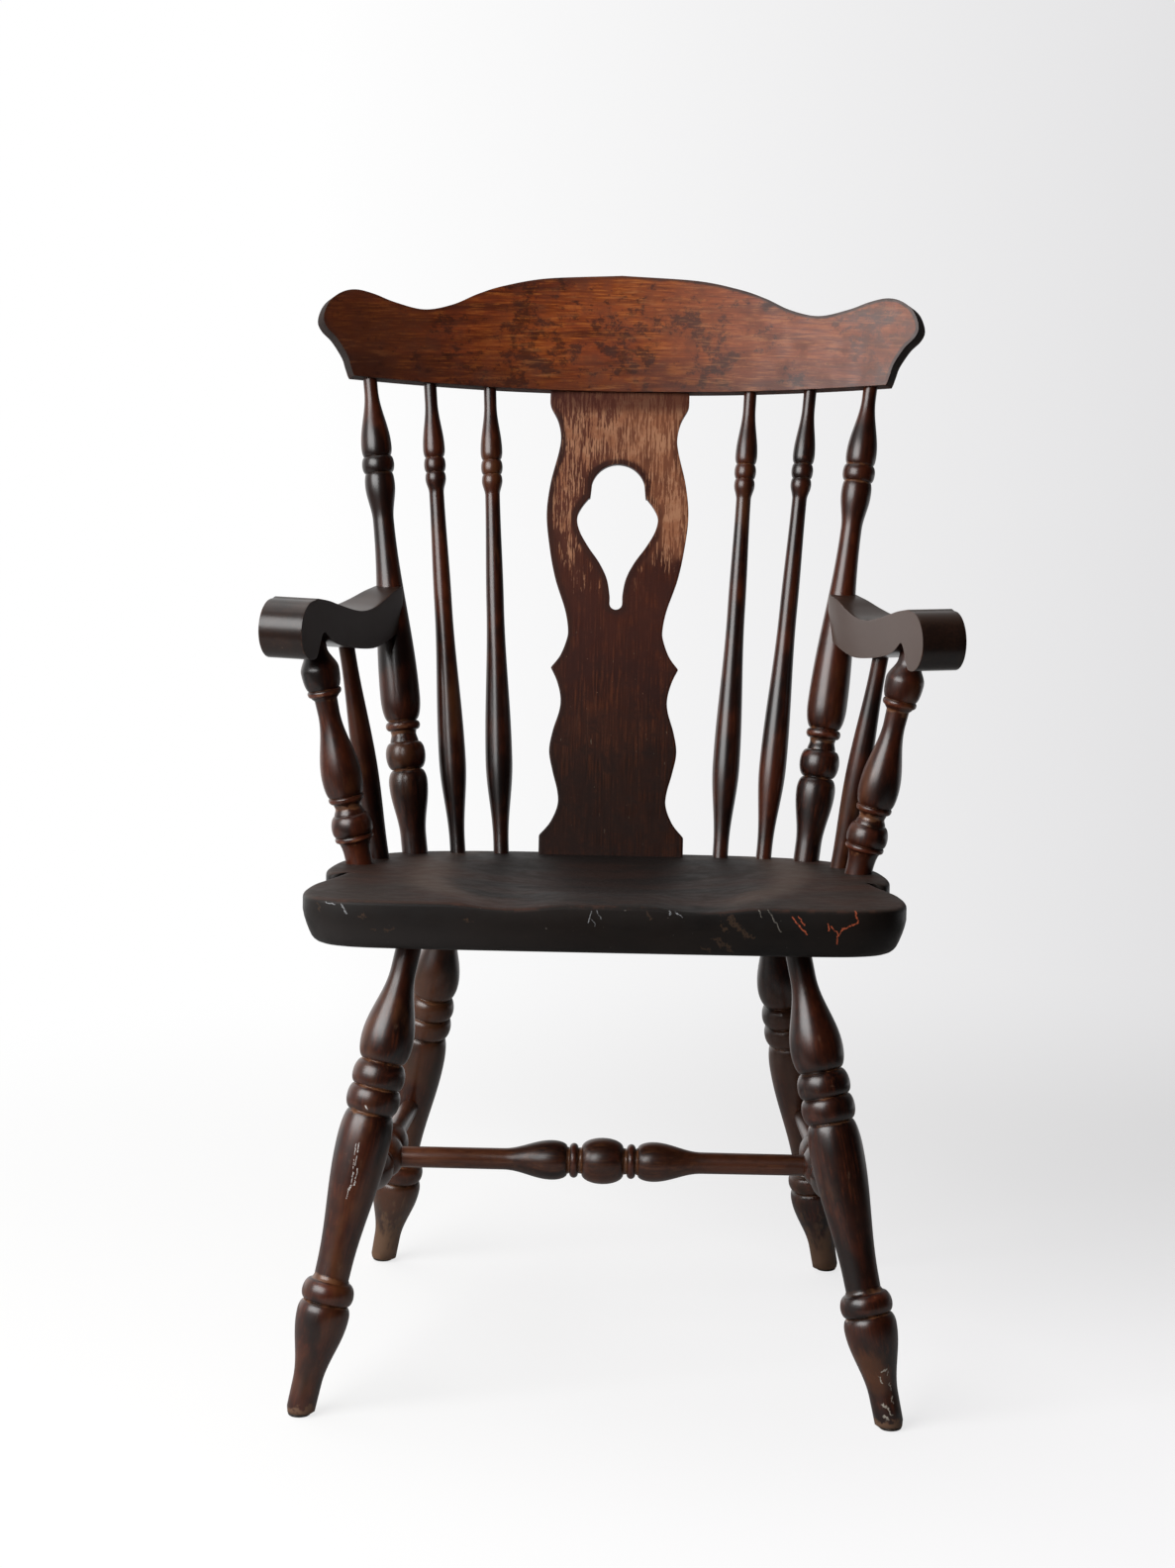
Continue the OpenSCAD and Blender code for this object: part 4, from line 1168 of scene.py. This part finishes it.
def seatExtras(state):
    w, worn = state["w"], seatWearAndPaintedLight
    part, normal = w.parts(state["place"]), w.facing()
    away = w.calc("ABSOLUTE", part["X"])
    upper = w.remap(normal["Z"], 0.45, 0.95)
    # painted sheen: the top lighter towards both sides
    cover(state, w.times(w.remap(away, 0.08, 0.2), upper), worn["sides"], 0.6)
    rubbed = w.noise(w.mapping(state["place"], scale=(0.6, 1, 1)), 14, 4, 0.65)
    cover(state, w.times(w.remap(rubbed, 0.42, 0.66), upper), worn["rubbed"], 0.5)
    # a painted highlight on the rims of the scoop, where they catch the light, and painted shade in
    # its middle
    wide, deep = worn["scoop"]
    reach = w.measure("LENGTH", w.mapping(state["place"], scale=(1 / wide, 1 / deep, 0)))
    reach = w.plus(reach, w.swing(state["broad"], 0.3))
    ring = w.times(w.remap(reach, 0.78, 0.95), w.remap(reach, 1.14, 0.98))
    ring = w.times(ring, upper, w.remap(away, 0.08, 0.15))
    cover(state, ring, worn["ring"], 0.6)
    cover(state, w.times(w.remap(reach, 0.9, 0.6), upper), worn["middle"], 0.5)
    # the front lip is worn brown in places
    lip = w.times(w.remap(state["relief"], 0.5, 1.0), w.remap(part["Y"], -0.25, -0.265),
                  w.remap(state["blotch"], 0.53, 0.62))
    cover(state, lip, worn["lip"], 0.35)
    # painted light: the front face lighter towards the left and the bottom, where lamp and floor
    # light it
    pale = w.times(w.remap(part["X"], 0.02, -0.2), w.remap(part["Z"], 0.446, 0.415, 0.15, 1),
                   w.remap(normal["Y"], -0.3, -0.8))
    cover(state, pale, worn["pale"], 0.6)
    toFront = w.times(w.remap(part["Y"], -0.255, -0.264), w.remap(normal["Y"], -0.3, -0.5))
    for colour, share, shake, scratches in seatMarksAndHighlights:
        cover(state, w.times(scratchMask(w, scratches, shake), toFront), colour, share)
    roughen(state, upper, 0.08)
    state["height"] = state["fine"]


seatLook = {
    "grain": (0.35, 0.6, 1), "deep": "13100f", "stain": "191513", "warm": "201814",
    "light": "261d19", "bare": "5a4b43", "warmShare": 0.45, "lightShare": 0.1,
    "blotchShare": 0.2, "fineShare": 0.1, "rubShare": 0.03, "nickShare": 0.4, "nickFrom": 0.755,
    "nickColour": "7c746e", "gloss": 0.5, "bump": 0.02, "specular": 0.17, "figureScale": 30,
}
seatWood = stainedWood("blackSeatWood", seatLook, seatExtras)
finishPiece(makeSeat(), "seat", seatWood)
print("chair: seat")

# small domed glides under the feet; the outline is (s, r) in mm from the floor up
glide = {
    "outline": [(0, 7.4), (0.4, 8.6), (1.0, 9.4), (1.8, 9.75), (3, 9.8)], "facets": 40,
    "colour": "1a1613", "scuffed": "4a4038",
}


def makeGlides():
    material, w = newMaterial("scuffedGlide")
    scuff = w.noise(w.objectPlace(), 500, 3)
    colour = w.mix(w.remap(scuff, 0.5, 0.7), tone(glide["colour"]), tone(glide["scuffed"]))
    bump = w.node("ShaderNodeBump", {"Height": scuff, "Strength": 0.2, "Distance": 0.0003})
    shader = w.node("ShaderNodeBsdfPrincipled", {
        "Base Color": colour, "Normal": bump.outputs[0],
        "Roughness": w.remap(scuff, 0.3, 0.7, 0.35, 0.6)})
    w.node("ShaderNodeOutputMaterial", {"Surface": shader.outputs[0]})
    for k, node in enumerate(("front_glide_left", "front_glide_right", "rear_glide_left",
                              "rear_glide_right")):
        lowest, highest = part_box(node)
        foot = (lowest + highest) / 2
        foot.z = lowest.z
        top = foot + Vector((0, 0, highest.z - lowest.z))
        turnPiece(node, glide["outline"], foot, top, (0, 0), material, 71 + k,
                  facets=glide["facets"])


makeGlides()
print("chair: glides")


# ---- stage and light

# the backdrop is white on the left and pale grey on the right; room is how bright the studio is
# in front of the chair, behind it and on the left, as the wood reflects it
stage = {
    "floor": "f4f3f2", "roomFloor": "3c3a38", "paperFrom": -0.75, "paperTo": 1.0, "size": 9.0,
    "backdrop": {"from": -0.10, "to": 0.16, "left": 1.0, "right": 0.76},
    "room": {"front": 0.01, "back": 0.95, "right": 0.2, "left": 0.55},
    "paperFade": (0.15, 0.3), "paperDim": 0.45, "frontWhite": (0.9, -0.4, 0.0, 0.24),
    "floorGlow": {"near": 0.74, "far": 1.0, "middle": (0.3, 0.15, 0), "reach": (0.45, 1.5)},
    "wallFrom": (0.7, 1.4),
    "key": {"place": (-1.65, -1.75, 1.7), "size": (2.3, 1.5), "power": 90},
    "top": {"place": (-0.6, 0.3, 3.0), "size": (2.0, 2.0), "power": 16},
}


def backdropTone(w, across):
    b = stage["backdrop"]
    level = w.remap(across, b["from"], b["to"], b["left"], b["right"], False)
    tint = w.remap(across, b["from"], b["to"], 0.0, 1.0, False)
    return level, w.mix(tint, (1, 1, 1, 1), (0.993, 0.988, 1.0, 1))


def makeFloor():
    mesh = bpy.data.meshes.new("floor")
    s = stage["size"]
    mesh.from_pydata([(-s, -s, 0), (s, -s, 0), (s, s, 0), (-s, s, 0)], [], [(0, 1, 2, 3)])
    floor = addObject("floor", mesh)
    material, w = newMaterial("paleFloor")
    place = w.objectPlace()
    part = w.parts(place)
    # graded along lines from the main camera's place, to meet the backdrop's grading there
    eye = cameraLook["place"]
    across = w.calc("DIVIDE", w.minus(part["X"], eye[0]),
                    w.calc("MAXIMUM", w.minus(part["Y"], eye[1]), 0.5))
    level, tint = backdropTone(w, across)
    # white in front of the chair, like the backdrop behind it
    level = w.plus(level, w.remap(part["Y"], *stage["frontWhite"]))
    glow = w.node("ShaderNodeEmission", {"Color": tint, "Strength": w.calc("MINIMUM", level, 1.0)})
    # the paper under the chair is pale, and the room's own floor beyond it is dark
    paths = w.node("ShaderNodeLightPath").outputs
    before, beside = stage["paperFade"]
    paper = w.times(w.remap(part["Y"], stage["paperFrom"] - before, stage["paperFrom"]),
                    w.remap(part["X"], stage["paperTo"] + beside, stage["paperTo"]),
                    w.remap(paths["Is Camera Ray"], 0.0, 1.0, stage["paperDim"], 1.0))
    shader = w.node("ShaderNodeBsdfDiffuse", {
        "Color": w.mix(paper, tone(stage["roomFloor"]), tone(stage["floor"]))})
    glowing = stage["floorGlow"]
    away = w.measure("LENGTH", w.vector("SUBTRACT", place, glowing["middle"]))
    share = w.remap(away, *glowing["reach"], glowing["near"], glowing["far"])
    wall = w.times(w.remap(part["Y"], *stage["wallFrom"]), paths["Is Glossy Ray"])
    share = w.calc("MAXIMUM", w.times(share, paths["Is Camera Ray"]), wall)
    mixed = w.node("ShaderNodeMixShader", {0: share, 1: shader.outputs[0], 2: glow.outputs[0]})
    w.node("ShaderNodeOutputMaterial", {"Surface": mixed.outputs[0]})
    mesh.materials.append(material)


def makeRoom():
    world = bpy.data.worlds.new("studio")
    bpy.context.scene.world = world
    world.use_nodes = True
    world.node_tree.nodes.clear()
    w = Wiring(world.node_tree)
    room = stage["room"]
    part = w.parts(w.node("ShaderNodeTexCoord").outputs["Generated"])
    behind = w.times(w.remap(part["Y"], 0.1, 0.75),
                     w.remap(part["X"], -0.3, 0.3, room["back"], room["right"]))
    leftward = w.remap(part["X"], -0.1, -0.85, 0.0, room["left"])
    strength = w.plus(behind, leftward, room["front"])
    soft = w.node("ShaderNodeBackground", {"Color": (1, 0.995, 0.99, 1), "Strength": strength})
    level, tint = backdropTone(w, part["X"])
    seen = w.node("ShaderNodeBackground", {"Color": tint, "Strength": level})
    camera = w.node("ShaderNodeLightPath").outputs["Is Camera Ray"]
    mixed = w.node("ShaderNodeMixShader", {0: camera, 1: soft.outputs[0], 2: seen.outputs[0]})
    w.node("ShaderNodeOutputWorld", {"Surface": mixed.outputs[0]})


def makeLamps():
    for name in ("key", "top"):
        look = stage[name]
        light = bpy.data.lights.new(name, "AREA")
        light.shape = "RECTANGLE"
        light.size, light.size_y = look["size"]
        light.energy = look["power"]
        lamp = addObject(name, light)
        aim = Vector((0, 0, 0.5)) - Vector(look["place"])
        lamp.rotation_euler = aim.to_track_quat("-Z", "Y").to_euler()
        lamp.location = look["place"]
    bpy.context.scene.view_settings.view_transform = "Standard"


makeFloor()
makeRoom()
makeLamps()
print("chair: stage and light")
